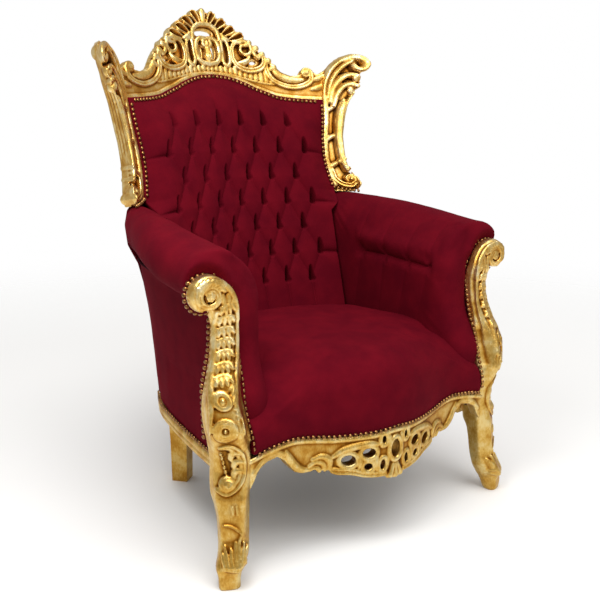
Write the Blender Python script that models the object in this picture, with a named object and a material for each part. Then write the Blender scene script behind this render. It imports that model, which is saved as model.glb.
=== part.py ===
"""An upholstered rococo armchair throne.

Units are metres, +Z is up, the chair faces -Y, and left is -X. The carved wood is modelled as flat
slabs and swept ridges that are laid on a curved surface (the barrel of the back, the serpentine of the
front rail), fused, and thinned to a light faceted solid. The upholstery is lofted.
"""

import math

import bmesh
import bpy
import numpy as np
from mathutils import Vector
from mathutils.geometry import delaunay_2d_cdt

# Driving dimensions
GAP = 0.0003                 # clearance between pieces that touch
CENTRE_Y = 0.0090            # middle of the chair's depth, in the frame in which it is drawn
SHARP_ANGLE = 40             # edges sharper than this, in degrees, stay sharp in shading
HIDDEN_GAP = 0.0020          # clearance between cloth and cloth inside the back

# The back is a raked barrel: its front face is y = BACK_Y + RAKE * (z - 1) - BOW * x * x
BACK_Y = 0.341
RAKE = 0.27
BOW = 0.94
FRAME_THICKNESS = 0.036      # carved wood of crest and stiles, measured square to the barrel
STILE_INNER_X = 0.298
STILE_DRAW_IN = 0.25         # share of the upright's width that is lost at its back
STILE_TURN = 0.50            # how steeply its front turns forward from the barrel
HORN_X = 0.340               # beyond this the rear of the horn curls forward too
HORN_CURL = 0.60
STILE_BASE_Z = 0.7475        # flat foot of the stile, on the arm
CREST_JOINT_X = 0.311        # crest and stile meet in this upright plane
CORNER_Z = 0.998             # height of the velvet's top corner
CREST_END_X = 0.298          # beyond this the crest ends level with the velvet's corner

# The front rail is a serpentine in plan
RAIL_CENTRE_Y = -0.415
RAIL_END_Y = -0.353
RAIL_THICKNESS = 0.030
POST_INNER_X = 0.345         # inner face of the leg where the front rail meets it
POST_BACK_Y = -0.280         # flat back of the post, where the arm meets it

# Upholstery
ARM_INNER_X = 0.268
SEAT_TOP_Z = 0.452
SEAT_UNDER_Z = 0.225
SEAT_WIDTH_FRONT = 0.687     # between the posts

# Carving
VOXEL = 0.0025               # detail kept when a piece's ridges are fused
CREST_TRIANGLES = 1000       # for half the crest, and below for each other carved piece
STILE_TRIANGLES = 430
LEG_TRIANGLES = 620
FRONT_RAIL_TRIANGLES = 640
ON_CENTRE_X = 0.0004         # points nearer to the middle than this are put on it
SLIVER = 0.00003             # shorter edges are closed up
FAR = 0.6                    # beyond every part of the chair, for cutters


def clear_scene():
    """Start from an empty scene."""
    for old in list(bpy.data.objects):
        bpy.data.objects.remove(old, do_unlink=True)


def make_material(name, colour, roughness, metallic):
    """A plain Principled material for one finish."""
    made = bpy.data.materials.new(name)
    made.use_nodes = True
    shader = made.node_tree.nodes["Principled BSDF"]
    shader.inputs["Base Color"].default_value = (*colour, 1.0)
    shader.inputs["Roughness"].default_value = roughness
    shader.inputs["Metallic"].default_value = metallic
    made.diffuse_color = (*colour, 1.0)
    return made


# Curves and surfaces

def curve_through(points, steps):
    """A smooth curve through points of any dimension, with the given steps in each span."""
    knots = np.array(points, float)
    padded = np.vstack([2 * knots[0] - knots[1], knots, 2 * knots[-1] - knots[-2]])
    curve = []
    for a, b, c, d in zip(padded, padded[1:], padded[2:], padded[3:]):
        for step in range(steps):
            t = step / steps
            curve.append(0.5 * (2 * b + (c - a) * t + (2 * a - 5 * b + 4 * c - d) * t ** 2
                                + (3 * b - a - 3 * c + d) * t ** 3))
    curve.append(knots[-1])
    return np.array(curve)


def follow(table, value):
    """Read a table of (where, how much) pairs at one place."""
    where, amount = zip(*table)
    return float(np.interp(value, where, amount))


def back_y(x, z):
    """Front face of the back's barrel."""
    return BACK_Y + RAKE * (z - 1.0) - BOW * x * x


def on_back(x, z, height):
    """A point at a height above the barrel's front face, measured square to it."""
    outward = Vector((-2 * BOW * x, -1.0, RAKE)).normalized()
    return Vector((x, back_y(x, z), z)) + outward * float(height)


def on_stile(x, z, height):
    """As on_back for an upright: its front turns forward, and its outer side draws in towards the rear."""
    depth = min(max(-height / FRAME_THICKNESS, 0.0), 1.0)
    beyond = max(x - STILE_INNER_X, 0.0)
    point = on_back(x - STILE_DRAW_IN * depth * beyond, z, height)
    point.y -= (1 - depth) * STILE_TURN * beyond + depth * HORN_CURL * max(x - HORN_X, 0.0)
    return point


def rail_y(x):
    """Front face of the serpentine front rail: a bow in the middle that turns out again at the legs."""
    bow = 0.5 + 0.5 * math.cos(math.pi * min(abs(x) / 0.26, 1.0))
    return RAIL_END_Y + (RAIL_CENTRE_Y - RAIL_END_Y) * bow


def on_rail(x, z, height):
    """A point at a height above the front rail's face."""
    slope = (rail_y(x + 0.001) - rail_y(x - 0.001)) / 0.002
    outward = Vector((slope, -1.0, 0.0)).normalized()
    return Vector((x, rail_y(x), z)) + outward * float(height)


def on_post(x, z, height):
    """A point at a height above the front of the leg and its arm post."""
    return Vector((x, follow(LEG_FRONT_Y, z) - height, z))


# Meshes

def make_mesh(points, faces):
    """One closed mesh, with its faces turned outwards."""
    shape = bmesh.new()
    made = [shape.verts.new(point) for point in points]
    for face in faces:
        shape.faces.new([made[index] for index in face])
    bmesh.ops.recalc_face_normals(shape, faces=shape.faces)
    return shape


def loft(rings, layered=False):
    """A closed solid through rings that all have the same number of points. The ends of a layer, whose
    rings run along its front and return along its rear, are closed from front to rear."""
    count = len(rings[0])
    points = [point for ring in rings for point in ring]
    quads = []
    for row in range(len(rings) - 1):
        for column in range(count):
            beside = (column + 1) % count
            quads.append((row * count + column, row * count + beside,
                          (row + 1) * count + beside, (row + 1) * count + column))
    ends = []
    for start in (0, (len(rings) - 1) * count):
        if layered:
            quads += [(start + i, start + i + 1, start + count - 2 - i, start + count - 1 - i)
                      for i in range(count // 2 - 1)]
        else:
            ends.append(tuple(range(start, start + count)))
    faces = [part for a, b, c, d in quads for part in ((a, b, c), (a, c, d))]
    return make_mesh(points, faces + ends)


def inside(point, outline):
    """Whether a flat point is inside a closed outline."""
    u, v = point
    found = False
    for (u0, v0), (u1, v1) in zip(outline, outline[1:] + outline[:1]):
        if (v0 > v) != (v1 > v) and u < u0 + (u1 - u0) * (v - v0) / (v1 - v0):
            found = not found
    return found


def slab(place, outline, holes, low, high, grid=0.02):
    """A pierced plate laid on a surface, from one height above it to another."""
    outline = [tuple(point) for point in outline]
    loops = [outline] + holes
    points, edges = [], []
    for loop in loops:
        first = len(points)
        points += [Vector(point) for point in loop]
        edges += [(first + i, first + (i + 1) % len(loop)) for i in range(len(loop))]
    (u0, v0), (u1, v1) = np.min(outline, axis=0), np.max(outline, axis=0)
    for u in np.arange(u0 + grid / 2, u1, grid):
        for v in np.arange(v0 + grid / 2, v1, grid):
            if inside((u, v), outline) and not any(inside((u, v), hole) for hole in holes):
                points.append(Vector((u, v)))
    flat, _, triangles, *_ = delaunay_2d_cdt(points, edges, [], 1, 1e-6)
    kept = []
    for triangle in triangles:
        centre = sum((flat[i] for i in triangle), Vector((0, 0))) / 3
        if inside(centre, outline) and not any(inside(centre, hole) for hole in holes):
            kept.append(triangle)
    used = sorted({i for triangle in kept for i in triangle})
    front = {old: new for new, old in enumerate(used)}
    total = len(used)
    solid = [place(*flat[i], high) for i in used] + [place(*flat[i], low) for i in used]
    faces = [tuple(front[i] for i in triangle) for triangle in kept]
    faces += [tuple(front[i] + total for i in reversed(triangle)) for triangle in kept]
    sides = {}
    for triangle in kept:
        for a, b in zip(triangle, triangle[1:] + triangle[:1]):
            sides[(front[a], front[b])] = True
    faces += [(b, a, a + total, b + total) for a, b in sides if (b, a) not in sides]
    return make_mesh(solid, faces)


def ridge(place, points, rise=1.0, lift=0.0, steps=4, sides=8):
    """A rounded ridge laid on a surface, through points that give (across, up, half width)."""
    path = curve_through(points, steps)
    tangents = np.gradient(path[:, :2], axis=0)
    tangents /= np.linalg.norm(tangents, axis=1)[:, None]
    ends = (0.45, 0.85)
    stations = [(path[0][:2] - tangents[0] * path[0][2] * math.cos(e * math.pi / 2),
                 tangents[0], path[0][2] * math.sin(e * math.pi / 2)) for e in ends]
    stations += [(p[:2], t, p[2]) for p, t in zip(path, tangents)]
    stations += [(path[-1][:2] + tangents[-1] * path[-1][2] * math.cos(e * math.pi / 2),
                  tangents[-1], path[-1][2] * math.sin(e * math.pi / 2)) for e in reversed(ends)]
    rings = []
    for (u, v), (du, dv), half in stations:
        ring = []
        for side in range(sides):
            turn = 2 * math.pi * side / sides
            across = half * math.cos(turn)
            ring.append(place(u - dv * across, v + du * across, lift + rise * half * math.sin(turn)))
        rings.append(ring)
    return loft(rings)


def oval(u, v, half_u, half_v, tilt=0.0, count=10):
    """An oval outline, turned by a tilt in degrees."""
    turn = math.radians(tilt)
    points = []
    for i in range(count):
        a = 2 * math.pi * i / count
        x, y = half_u * math.cos(a), half_v * math.sin(a)
        points.append((u + x * math.cos(turn) - y * math.sin(turn),
                       v + x * math.sin(turn) + y * math.cos(turn)))
    return points


def volute(u, v, radius, start, turns, half, end_radius=0.35, count=9):
    """Points of a scroll's end that winds in towards its eye, start in degrees, turns signed."""
    points = []
    for i in range(count):
        share = i / (count - 1)
        angle = math.radians(start) + 2 * math.pi * turns * share
        r = radius * (1 - (1 - end_radius) * share)
        points.append((u + r * math.cos(angle), v + r * math.sin(angle), half * (1 - 0.35 * share)))
    return points


# Building objects

def add_object(name, shape, finish):
    """Put a mesh into the scene as one named object."""
    mesh = bpy.data.meshes.new(name)
    shape.to_mesh(mesh)
    shape.free()
    mesh.materials.append(finish)
    made = bpy.data.objects.new(name, mesh)
    bpy.context.scene.collection.objects.link(made)
    return made


def settle(thing):
    """Replace an object's mesh by what its modifiers make of it."""
    graph = bpy.context.evaluated_depsgraph_get()
    graph.update()
    finished = bpy.data.meshes.new_from_object(thing.evaluated_get(graph))
    thing.modifiers.clear()
    thing.data = finished


def fuse(name, shapes, finish, triangles, mirrored=False):
    """Fuse overlapping closed shapes into one carved piece with about so many triangles."""
    joined = bmesh.new()
    for shape in shapes:
        passing = bpy.data.meshes.new("passing")
        shape.to_mesh(passing)
        shape.free()
        joined.from_mesh(passing)
        bpy.data.meshes.remove(passing)
    made = add_object(name, joined, finish)
    remesh = made.modifiers.new("fuse", "REMESH")
    remesh.mode = "VOXEL"
    remesh.voxel_size = VOXEL
    settle(made)
    if mirrored:
        half = bmesh.new()
        half.from_mesh(made.data)
        bmesh.ops.bisect_plane(half, geom=half.verts[:] + half.edges[:] + half.faces[:],
                               plane_co=(0, 0, 0), plane_no=(1, 0, 0), clear_inner=True)
        half.to_mesh(made.data)
        half.free()
    thin = made.modifiers.new("thin", "DECIMATE")
    thin.ratio = triangles / (2 * len(made.data.polygons))
    thin.use_collapse_triangulate = True
    settle(made)
    if mirrored:
        half = bmesh.new()
        half.from_mesh(made.data)
        for point in half.verts:
            if point.co.x < ON_CENTRE_X:
                point.co.x = 0.0
        flat = [face for face in half.faces if not any(point.co.x for point in face.verts)]
        bmesh.ops.delete(half, geom=flat, context="FACES")
        half.to_mesh(made.data)
        half.free()
        mirror = made.modifiers.new("mirror", "MIRROR")
        mirror.merge_threshold = 0.0001
        mirror.use_clip = True
        settle(made)
    return made


def cut(thing, shapes, how="DIFFERENCE"):
    """Cut closed shapes out of an object, or join them on."""
    for shape in shapes:
        cutter = add_object("cutter", shape, thing.data.materials[0])
        trim = thing.modifiers.new("trim", "BOOLEAN")
        trim.operation = how
        trim.solver = "EXACT"
        trim.object = cutter
        settle(thing)
        bpy.data.objects.remove(cutter, do_unlink=True)


def swollen(shape):
    """A shape grown by a little more than the gap, to cut room for a piece."""
    shape.normal_update()
    for point in shape.verts:
        point.co += point.normal * 2 * GAP
    return shape


def block(low, high):
    """A box between two corners."""
    (x0, y0, z0), (x1, y1, z1) = low, high
    rings = [[(x0, y0, z), (x1, y0, z), (x1, y1, z), (x0, y1, z)] for z in (z0, z1)]
    return loft(rings)


def clean(thing):
    """Drop the slivers that the cuts leave."""
    shape = bmesh.new()
    shape.from_mesh(thing.data)
    bmesh.ops.dissolve_degenerate(shape, dist=SLIVER, edges=shape.edges)
    bmesh.ops.triangulate(shape, faces=[face for face in shape.faces if len(face.verts) > 3])
    shape.to_mesh(thing.data)
    shape.free()


def copy_to_left(thing, name):
    """The left-hand twin of a right-hand piece."""
    twin_mesh = thing.data.copy()
    for point in twin_mesh.vertices:
        point.co.x = -point.co.x
    twin_mesh.flip_normals()
    twin = bpy.data.objects.new(name, twin_mesh)
    bpy.context.scene.collection.objects.link(twin)
    return twin


# The back frame: outlines as (x, z) on the barrel, right half

CREST_TOP = [(0.000, 1.251), (0.020, 1.246), (0.030, 1.240), (0.047, 1.233), (0.060, 1.228),
             (0.078, 1.215), (0.090, 1.209), (0.104, 1.196), (0.117, 1.188), (0.122, 1.176),
             (0.138, 1.164), (0.156, 1.155), (0.160, 1.140), (0.168, 1.132), (0.180, 1.120),
             (0.187, 1.110), (0.196, 1.096), (0.204, 1.084), (0.232, 1.073), (0.253, 1.076),
             (0.262, 1.091), (0.276, 1.095), (0.290, 1.088), (0.300, 1.079), (0.325, 1.082)]
VELVET_TOP = [(0.000, 1.065), (0.040, 1.062), (0.070, 1.054), (0.100, 1.043), (0.125, 1.031),
              (0.150, 1.022), (0.180, 1.010), (0.206, 1.005), (0.246, 1.001), (0.303, 0.998)]
VELVET_SIDE = [(0.297, 0.946), (0.289, 0.889), (0.286, 0.835), (0.291, 0.790), (0.296, 0.765)]
STILE_OUTER = [(0.347, 0.752), (0.353, 0.768), (0.351, 0.785), (0.340, 0.807), (0.334, 0.831),
               (0.332, 0.862), (0.333, 0.903), (0.344, 0.960), (0.354, 0.995), (0.361, 1.008),
               (0.371, 1.024), (0.382, 1.043), (0.388, 1.065), (0.401, 1.085), (0.409, 1.107),
               (0.403, 1.126), (0.386, 1.136), (0.370, 1.131), (0.352, 1.115), (0.328, 1.093)]
CREST_HOLES = [oval(0.000, 1.184, 0.029, 0.012),
               oval(0.020, 1.137, 0.0055, 0.020, -4),
               oval(0.050, 1.134, 0.0045, 0.029, -4),
               oval(0.033, 1.213, 0.0055, 0.016, -38),
               oval(0.056, 1.192, 0.0060, 0.018, -44),
               oval(0.083, 1.181, 0.0060, 0.015, -50),
               oval(0.086, 1.143, 0.0050, 0.026, 8),
               oval(0.115, 1.141, 0.0050, 0.009, 40),
               oval(0.135, 1.107, 0.0120, 0.007, 15)]


def crest_ornament():
    """The ridges carved on the right half of the crest."""
    lift = -0.003
    shapes = []
    # The palmette at the top, and the shell's ribs beside it
    shapes.append(ridge(on_back, [(0, 1.204, 0.011), (0, 1.225, 0.016), (0, 1.238, 0.012)], 0.7, lift))
    for root, middle, tip in (((0.026, 1.198), (0.043, 1.216), (0.050, 1.228)),
                              ((0.044, 1.177), (0.070, 1.199), (0.082, 1.211)),
                              ((0.070, 1.160), (0.101, 1.175), (0.112, 1.187))):
        shapes.append(ridge(on_back, [(*root, 0.005), (*middle, 0.0055), (*tip, 0.006)], 1.1, lift))
    # The arch over the opening, the oval ring, its petal and its flower
    shapes.append(ridge(on_back, [(0.040, 1.172, 0.005), (0.034, 1.194, 0.0055), (0.016, 1.205, 0.0055),
                                  (-0.004, 1.207, 0.0055)], 1.0, lift))
    shapes.append(ridge(on_back, [(-0.004, 1.166, 0.006), (0.022, 1.167, 0.006), (0.034, 1.152, 0.006),
                                  (0.034, 1.125, 0.006), (0.022, 1.104, 0.006), (-0.004, 1.098, 0.006)],
                        1.1, lift))
    shapes.append(ridge(on_back, [(0, 1.104, 0.005), (0, 1.122, 0.009), (0, 1.140, 0.006)], 0.8, lift))
    shapes.append(ridge(on_back, [(0, 1.148, 0.009), (0, 1.156, 0.009)], 1.0, lift))
    # The tall narrow scroll beside the ring
    shapes.append(ridge(on_back, [(0.057, 1.168, 0.006), (0.062, 1.145, 0.006), (0.061, 1.115, 0.006),
                                  (0.054, 1.094, 0.0065), (0.045, 1.096, 0.005)], 1.1, lift))
    # The large side scroll, winding in to its eye, and the leaf inside it
    shapes.append(ridge(on_back, [(0.158, 1.130, 0.005), (0.163, 1.110, 0.006), (0.152, 1.092, 0.0065),
                                  (0.130, 1.083, 0.007), (0.105, 1.084, 0.007), (0.083, 1.095, 0.0065),
                                  (0.073, 1.117, 0.006), (0.074, 1.146, 0.006), (0.090, 1.167, 0.006),
                                  (0.110, 1.170, 0.0055)] + volute(0.115, 1.143, 0.020, 70, -0.9, 0.0055),
                        1.1, lift))
    shapes.append(ridge(on_back, [(0.092, 1.102, 0.006), (0.108, 1.108, 0.008), (0.120, 1.100, 0.004)],
                        1.0, lift))
    # The stepped leaf down the shoulder
    for u, v in ((0.150, 1.150), (0.165, 1.132), (0.180, 1.116), (0.192, 1.097)):
        shapes.append(ridge(on_back, [(u - 0.012, v - 0.010, 0.004), (u, v - 0.004, 0.006),
                                      (u + 0.003, v, 0.005)], 1.1, lift))
    # The long scroll at the crest's end, with its small volute and the leaf inside it
    shapes.append(ridge(on_back, [(0.164, 1.112, 0.004), (0.168, 1.086, 0.005), (0.180, 1.062, 0.0055),
                                  (0.200, 1.046, 0.006), (0.230, 1.038, 0.006), (0.262, 1.042, 0.006),
                                  (0.284, 1.058, 0.006)] + volute(0.275, 1.080, 0.013, -30, 0.8, 0.0055),
                        1.1, lift))
    shapes.append(ridge(on_back, [(0.190, 1.088, 0.008), (0.215, 1.068, 0.012), (0.240, 1.060, 0.009),
                                  (0.260, 1.060, 0.004)], 0.6, lift))
    # The plain moulding that borders the velvet
    border = [(x, z + 0.012, 0.0125) for x, z in [(-0.006, 1.065)] + VELVET_TOP]
    shapes.append(ridge(on_back, border, 0.55, lift, steps=2))
    return shapes


def make_crest(finish):
    """The pierced crest rail."""
    low_edge = [(x, z - 0.003) for x, z in VELVET_TOP]
    outline = CREST_TOP + low_edge[::-1]
    outline = [(-0.008, 1.251)] + outline + [(-0.008, low_edge[0][1])]
    plate = slab(on_back, outline, CREST_HOLES, -FRAME_THICKNESS + 0.006, -0.003)
    crest = fuse("crest_rail", [plate] + crest_ornament(), finish, CREST_TRIANGLES, mirrored=True)
    cut(crest, [block((CREST_JOINT_X - GAP / 2, 0.0, 0.9), (FAR, FAR, 1.4)),
                block((-FAR, 0.0, 0.9), (-CREST_JOINT_X + GAP / 2, FAR, 1.4)),
                block((CREST_END_X, 0.0, 0.9), (FAR, FAR, CORNER_Z)),
                block((-FAR, 0.0, 0.9), (-CREST_END_X, FAR, CORNER_Z)),
                swollen(back_pad(UPPER_LEVELS)), swollen(outside_panel(UPPER_LEVELS))])
    return crest


def make_stile(finish):
    """A carved upright with its horn, on the right."""
    inner = [(x - 0.003, z) for x, z in reversed(VELVET_SIDE)]
    below = STILE_BASE_Z - 0.006
    outline = [(0.291, below), (0.347, below)] + STILE_OUTER
    outline += [(0.309, 1.082), (0.300, 1.075), (0.300, 0.998)] + inner[::-1]
    hole = oval(0.382, 1.111, 0.009, 0.005, -15)
    shapes = [slab(on_stile, outline, [hole], -FRAME_THICKNESS, -0.005)]
    lift = -0.005
    inner_strip = [(x + 0.007, z, 0.006) for x, z in [(0.302, 1.010)] + VELVET_SIDE]
    shapes.append(ridge(on_stile, inner_strip, 1.0, lift, steps=2))
    shapes.append(ridge(on_stile, [(0.327, 0.816, 0.008), (0.324, 0.861, 0.009), (0.326, 0.905, 0.009),
                                   (0.335, 0.960, 0.009), (0.346, 0.995, 0.008)], 0.9, lift))
    for x, z in ((0.309, 0.905), (0.317, 0.975)):
        shapes.append(ridge(on_stile, [(x - 0.008, z - 0.006, 0.005), (x + 0.008, z + 0.004, 0.005)],
                            1.0, lift))
    # The leaf lobes of the horn, each ending in a rolled tip
    shapes.append(ridge(on_stile, [(0.311, 1.014, 0.007), (0.319, 1.047, 0.008), (0.333, 1.076, 0.009),
                                   (0.353, 1.097, 0.009), (0.373, 1.102, 0.008), (0.391, 1.090, 0.009)],
                        1.1, lift))
    shapes.append(ridge(on_stile, [(0.317, 0.998, 0.006), (0.328, 1.030, 0.007), (0.345, 1.053, 0.008),
                                   (0.361, 1.066, 0.008), (0.374, 1.063, 0.009), (0.377, 1.053, 0.010)],
                        1.1, lift))
    shapes.append(ridge(on_stile, [(0.322, 0.984, 0.006), (0.333, 1.014, 0.007), (0.348, 1.030, 0.008),
                                   (0.360, 1.032, 0.010), (0.364, 1.022, 0.011)], 1.1, lift))
    shapes.append(ridge(on_stile, [(0.323, 1.089, 0.006), (0.350, 1.112, 0.008), (0.377, 1.127, 0.008),
                                   (0.395, 1.125, 0.009), (0.401, 1.107, 0.009)], 1.1, lift))
    shapes.append(ridge(on_stile, [(0.380, 1.124, 0.010), (0.393, 1.118, 0.011), (0.396, 1.103, 0.010)],
                        1.4, -FRAME_THICKNESS / 2))
    # The scroll at the foot of the upright
    shapes.append(ridge(on_stile, [(0.300, 0.800, 0.005), (0.305, 0.780, 0.006), (0.319, 0.767, 0.007),
                                   (0.335, 0.763, 0.007)] + volute(0.340, 0.781, 0.012, -60, 0.8, 0.006),
                        1.2, lift))
    stile = fuse("back_stile_right", shapes, finish, STILE_TRIANGLES)
    cut(stile, [block((0.2, 0.0, CORNER_Z - 0.0005), (CREST_JOINT_X + GAP / 2, FAR, 1.3)),
                block((0.2, 0.0, 0.6), (FAR, FAR, STILE_BASE_Z)),
                swollen(back_pad(UPPER_LEVELS)), swollen(outside_panel(UPPER_LEVELS))])
    return stile


# The front leg and arm post: (height, centre x, half width), and its front and back faces

LEG_PATH = [(0.000, 0.409, 0.0205), (0.028, 0.409, 0.0215), (0.048, 0.402, 0.0270),
            (0.070, 0.389, 0.0275), (0.100, 0.381, 0.0255), (0.140, 0.378, 0.0262),
            (0.180, 0.378, 0.0280), (0.220, 0.377, 0.0330), (0.260, 0.376, 0.0340),
            (0.300, 0.380, 0.0345), (0.340, 0.388, 0.0345), (0.380, 0.393, 0.0320),
            (0.420, 0.390, 0.0285), (0.460, 0.382, 0.0260), (0.500, 0.376, 0.0250),
            (0.550, 0.373, 0.0245)]
LEG_FRONT_Y = [(0.000, -0.3675), (0.028, -0.3690), (0.048, -0.3740), (0.070, -0.3680),
               (0.100, -0.3600), (0.140, -0.3570), (0.180, -0.3565), (0.220, -0.3560),
               (0.260, -0.3570), (0.300, -0.3600), (0.340, -0.3640), (0.380, -0.3570),
               (0.420, -0.3440), (0.460, -0.3320), (0.500, -0.3260), (0.550, -0.3240),
               (0.650, -0.3240)]
LEG_BACK_Y = [(0.000, -0.3290), (0.028, -0.3270), (0.048, -0.3170), (0.070, -0.3120),
              (0.100, -0.3080), (0.140, -0.3040), (0.170, -0.2980), (0.190, -0.2740), (0.650, -0.2740)]
VOLUTE_CENTRE = (0.415, 0.613)
VOLUTE_RADIUS = 0.036


def leg_ring(x, z, half, front, back, tilt=0.0, count=16):
    """A rounded square section of the leg, tilted with its path in the x-z plane."""
    ring = []
    for i in range(count):
        a = 2 * math.pi * (i + 0.5) / count
        across = math.copysign(abs(math.cos(a)) ** 0.55, math.cos(a)) * half
        deep = math.copysign(abs(math.sin(a)) ** 0.55, math.sin(a))
        y = (front + back) / 2 + deep * (back - front) / 2
        ring.append((x + across * math.cos(tilt), y, z + across * math.sin(tilt)))
    return ring


def leg_body():
    """Foot, leg and arm post as one sweep that ends in the volute."""
    rings = []
    for z, x, half in curve_through(LEG_PATH, 2):
        rings.append(leg_ring(x, z, half, follow(LEG_FRONT_Y, z), follow(LEG_BACK_Y, z)))
    u, v = VOLUTE_CENTRE
    band = 0.019
    for share in np.linspace(0, 1, 11):
        angle = math.radians(172 - 235 * share)
        r = VOLUTE_RADIUS - band + 0.006 * (1 - share)
        half = band + 0.004 * (1 - share)
        x, z = u + r * math.cos(angle), v + r * math.sin(angle)
        rings.append(leg_ring(x, z, half, follow(LEG_FRONT_Y, z), follow(LEG_BACK_Y, z), angle - math.pi))
    return loft(rings)


def make_front_leg(finish):
    """The right-hand leg with its arm post, carved on the front."""
    shapes = [leg_body()]
    u, v = VOLUTE_CENTRE
    shapes.append(ridge(on_post, volute(u, v, 0.027, 150, -1.2, 0.008, 0.2, 12), 0.7))
    shapes.append(ridge(on_post, [(u - 0.004, v, 0.011), (u + 0.004, v, 0.011)], 0.8))
    # Two smooth edges run down the post, with stacked husks between them
    for side in (-1, 1):
        shapes.append(ridge(on_post, [(0.372 + side * 0.017, 0.57, 0.0055),
                                      (0.376 + side * 0.018, 0.50, 0.006),
                                      (0.390 + side * 0.020, 0.42, 0.007),
                                      (0.392 + side * 0.020, 0.37, 0.008)], 0.8))
    for row in range(7):
        z = 0.565 - 0.022 * row
        x = follow([(0.42, 0.389), (0.46, 0.382), (0.50, 0.376), (0.57, 0.373)], z)
        shapes.append(ridge(on_post, [(x - 0.010, z + 0.002, 0.005), (x, z - 0.003, 0.006),
                                      (x + 0.010, z + 0.002, 0.005)], 0.9, -0.001, steps=2))
    # The oval boss, the broad knee leaf that steps out, and the knee scroll
    shapes.append(ridge(on_post, [(0.391, 0.415, 0.013), (0.391, 0.405, 0.013)], 0.6, -0.001))
    shapes.append(ridge(on_post, [(0.398, 0.430, 0.006), (0.420, 0.395, 0.010), (0.428, 0.360, 0.012),
                                  (0.424, 0.328, 0.010)], 1.2, -0.012))
    shapes.append(ridge(on_post, [(0.400, 0.325, 0.006), (0.396, 0.290, 0.008), (0.388, 0.262, 0.008)]
                        + volute(0.388, 0.246, 0.013, 80, 0.8, 0.006), 0.9, -0.001))
    shapes.append(ridge(on_post, [(0.362, 0.330, 0.005), (0.358, 0.290, 0.006), (0.362, 0.250, 0.006),
                                  (0.370, 0.215, 0.004)], 0.9, -0.001))
    # Acanthus leaves that rise from the foot
    for x, top, lean in ((0.372, 0.150, -0.008), (0.384, 0.165, -0.002), (0.396, 0.140, 0.008)):
        shapes.append(ridge(on_post, [(x + 0.010, 0.060, 0.007), (x + lean / 2, 0.100, 0.007),
                                      (x + lean, top, 0.003)], 0.7, -0.001))
    leg = fuse("front_leg_right", shapes, finish, LEG_TRIANGLES)
    cut(leg, [block((0.2, POST_BACK_Y - GAP / 2, 0.16), (FAR, 0.0, 0.75)),
              block((0.2, -FAR, -0.05), (FAR, 0.0, 0.0)),
              block((0.2, -FAR, 0.15), (POST_INNER_X + GAP / 2, 0.0, 0.40))])
    return leg


# The front rail and its apron, as (x, z) on the serpentine, right half

RAIL_TOP_Z = [(0.000, 0.279), (0.050, 0.275), (0.100, 0.274), (0.150, 0.275), (0.190, 0.280),
              (0.240, 0.285), (0.300, 0.279), (0.350, 0.268)]
APRON_EDGE = [(0.000, 0.158), (0.022, 0.161), (0.050, 0.170), (0.072, 0.176), (0.095, 0.184),
              (0.130, 0.197), (0.155, 0.205), (0.178, 0.208), (0.220, 0.205), (0.236, 0.210),
              (0.248, 0.224), (0.262, 0.244), (0.280, 0.256), (0.305, 0.252), (0.326, 0.240),
              (0.338, 0.218), (0.350, 0.200)]
APRON_HOLES = [oval(0.000, 0.233, 0.0125, 0.021),
               oval(0.029, 0.254, 0.0045, 0.0075),
               oval(0.036, 0.198, 0.0045, 0.0135, 12),
               oval(0.070, 0.230, 0.0140, 0.0085, 8),
               oval(0.076, 0.199, 0.0085, 0.0065, 20),
               oval(0.119, 0.216, 0.0130, 0.0085, 15)]


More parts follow.
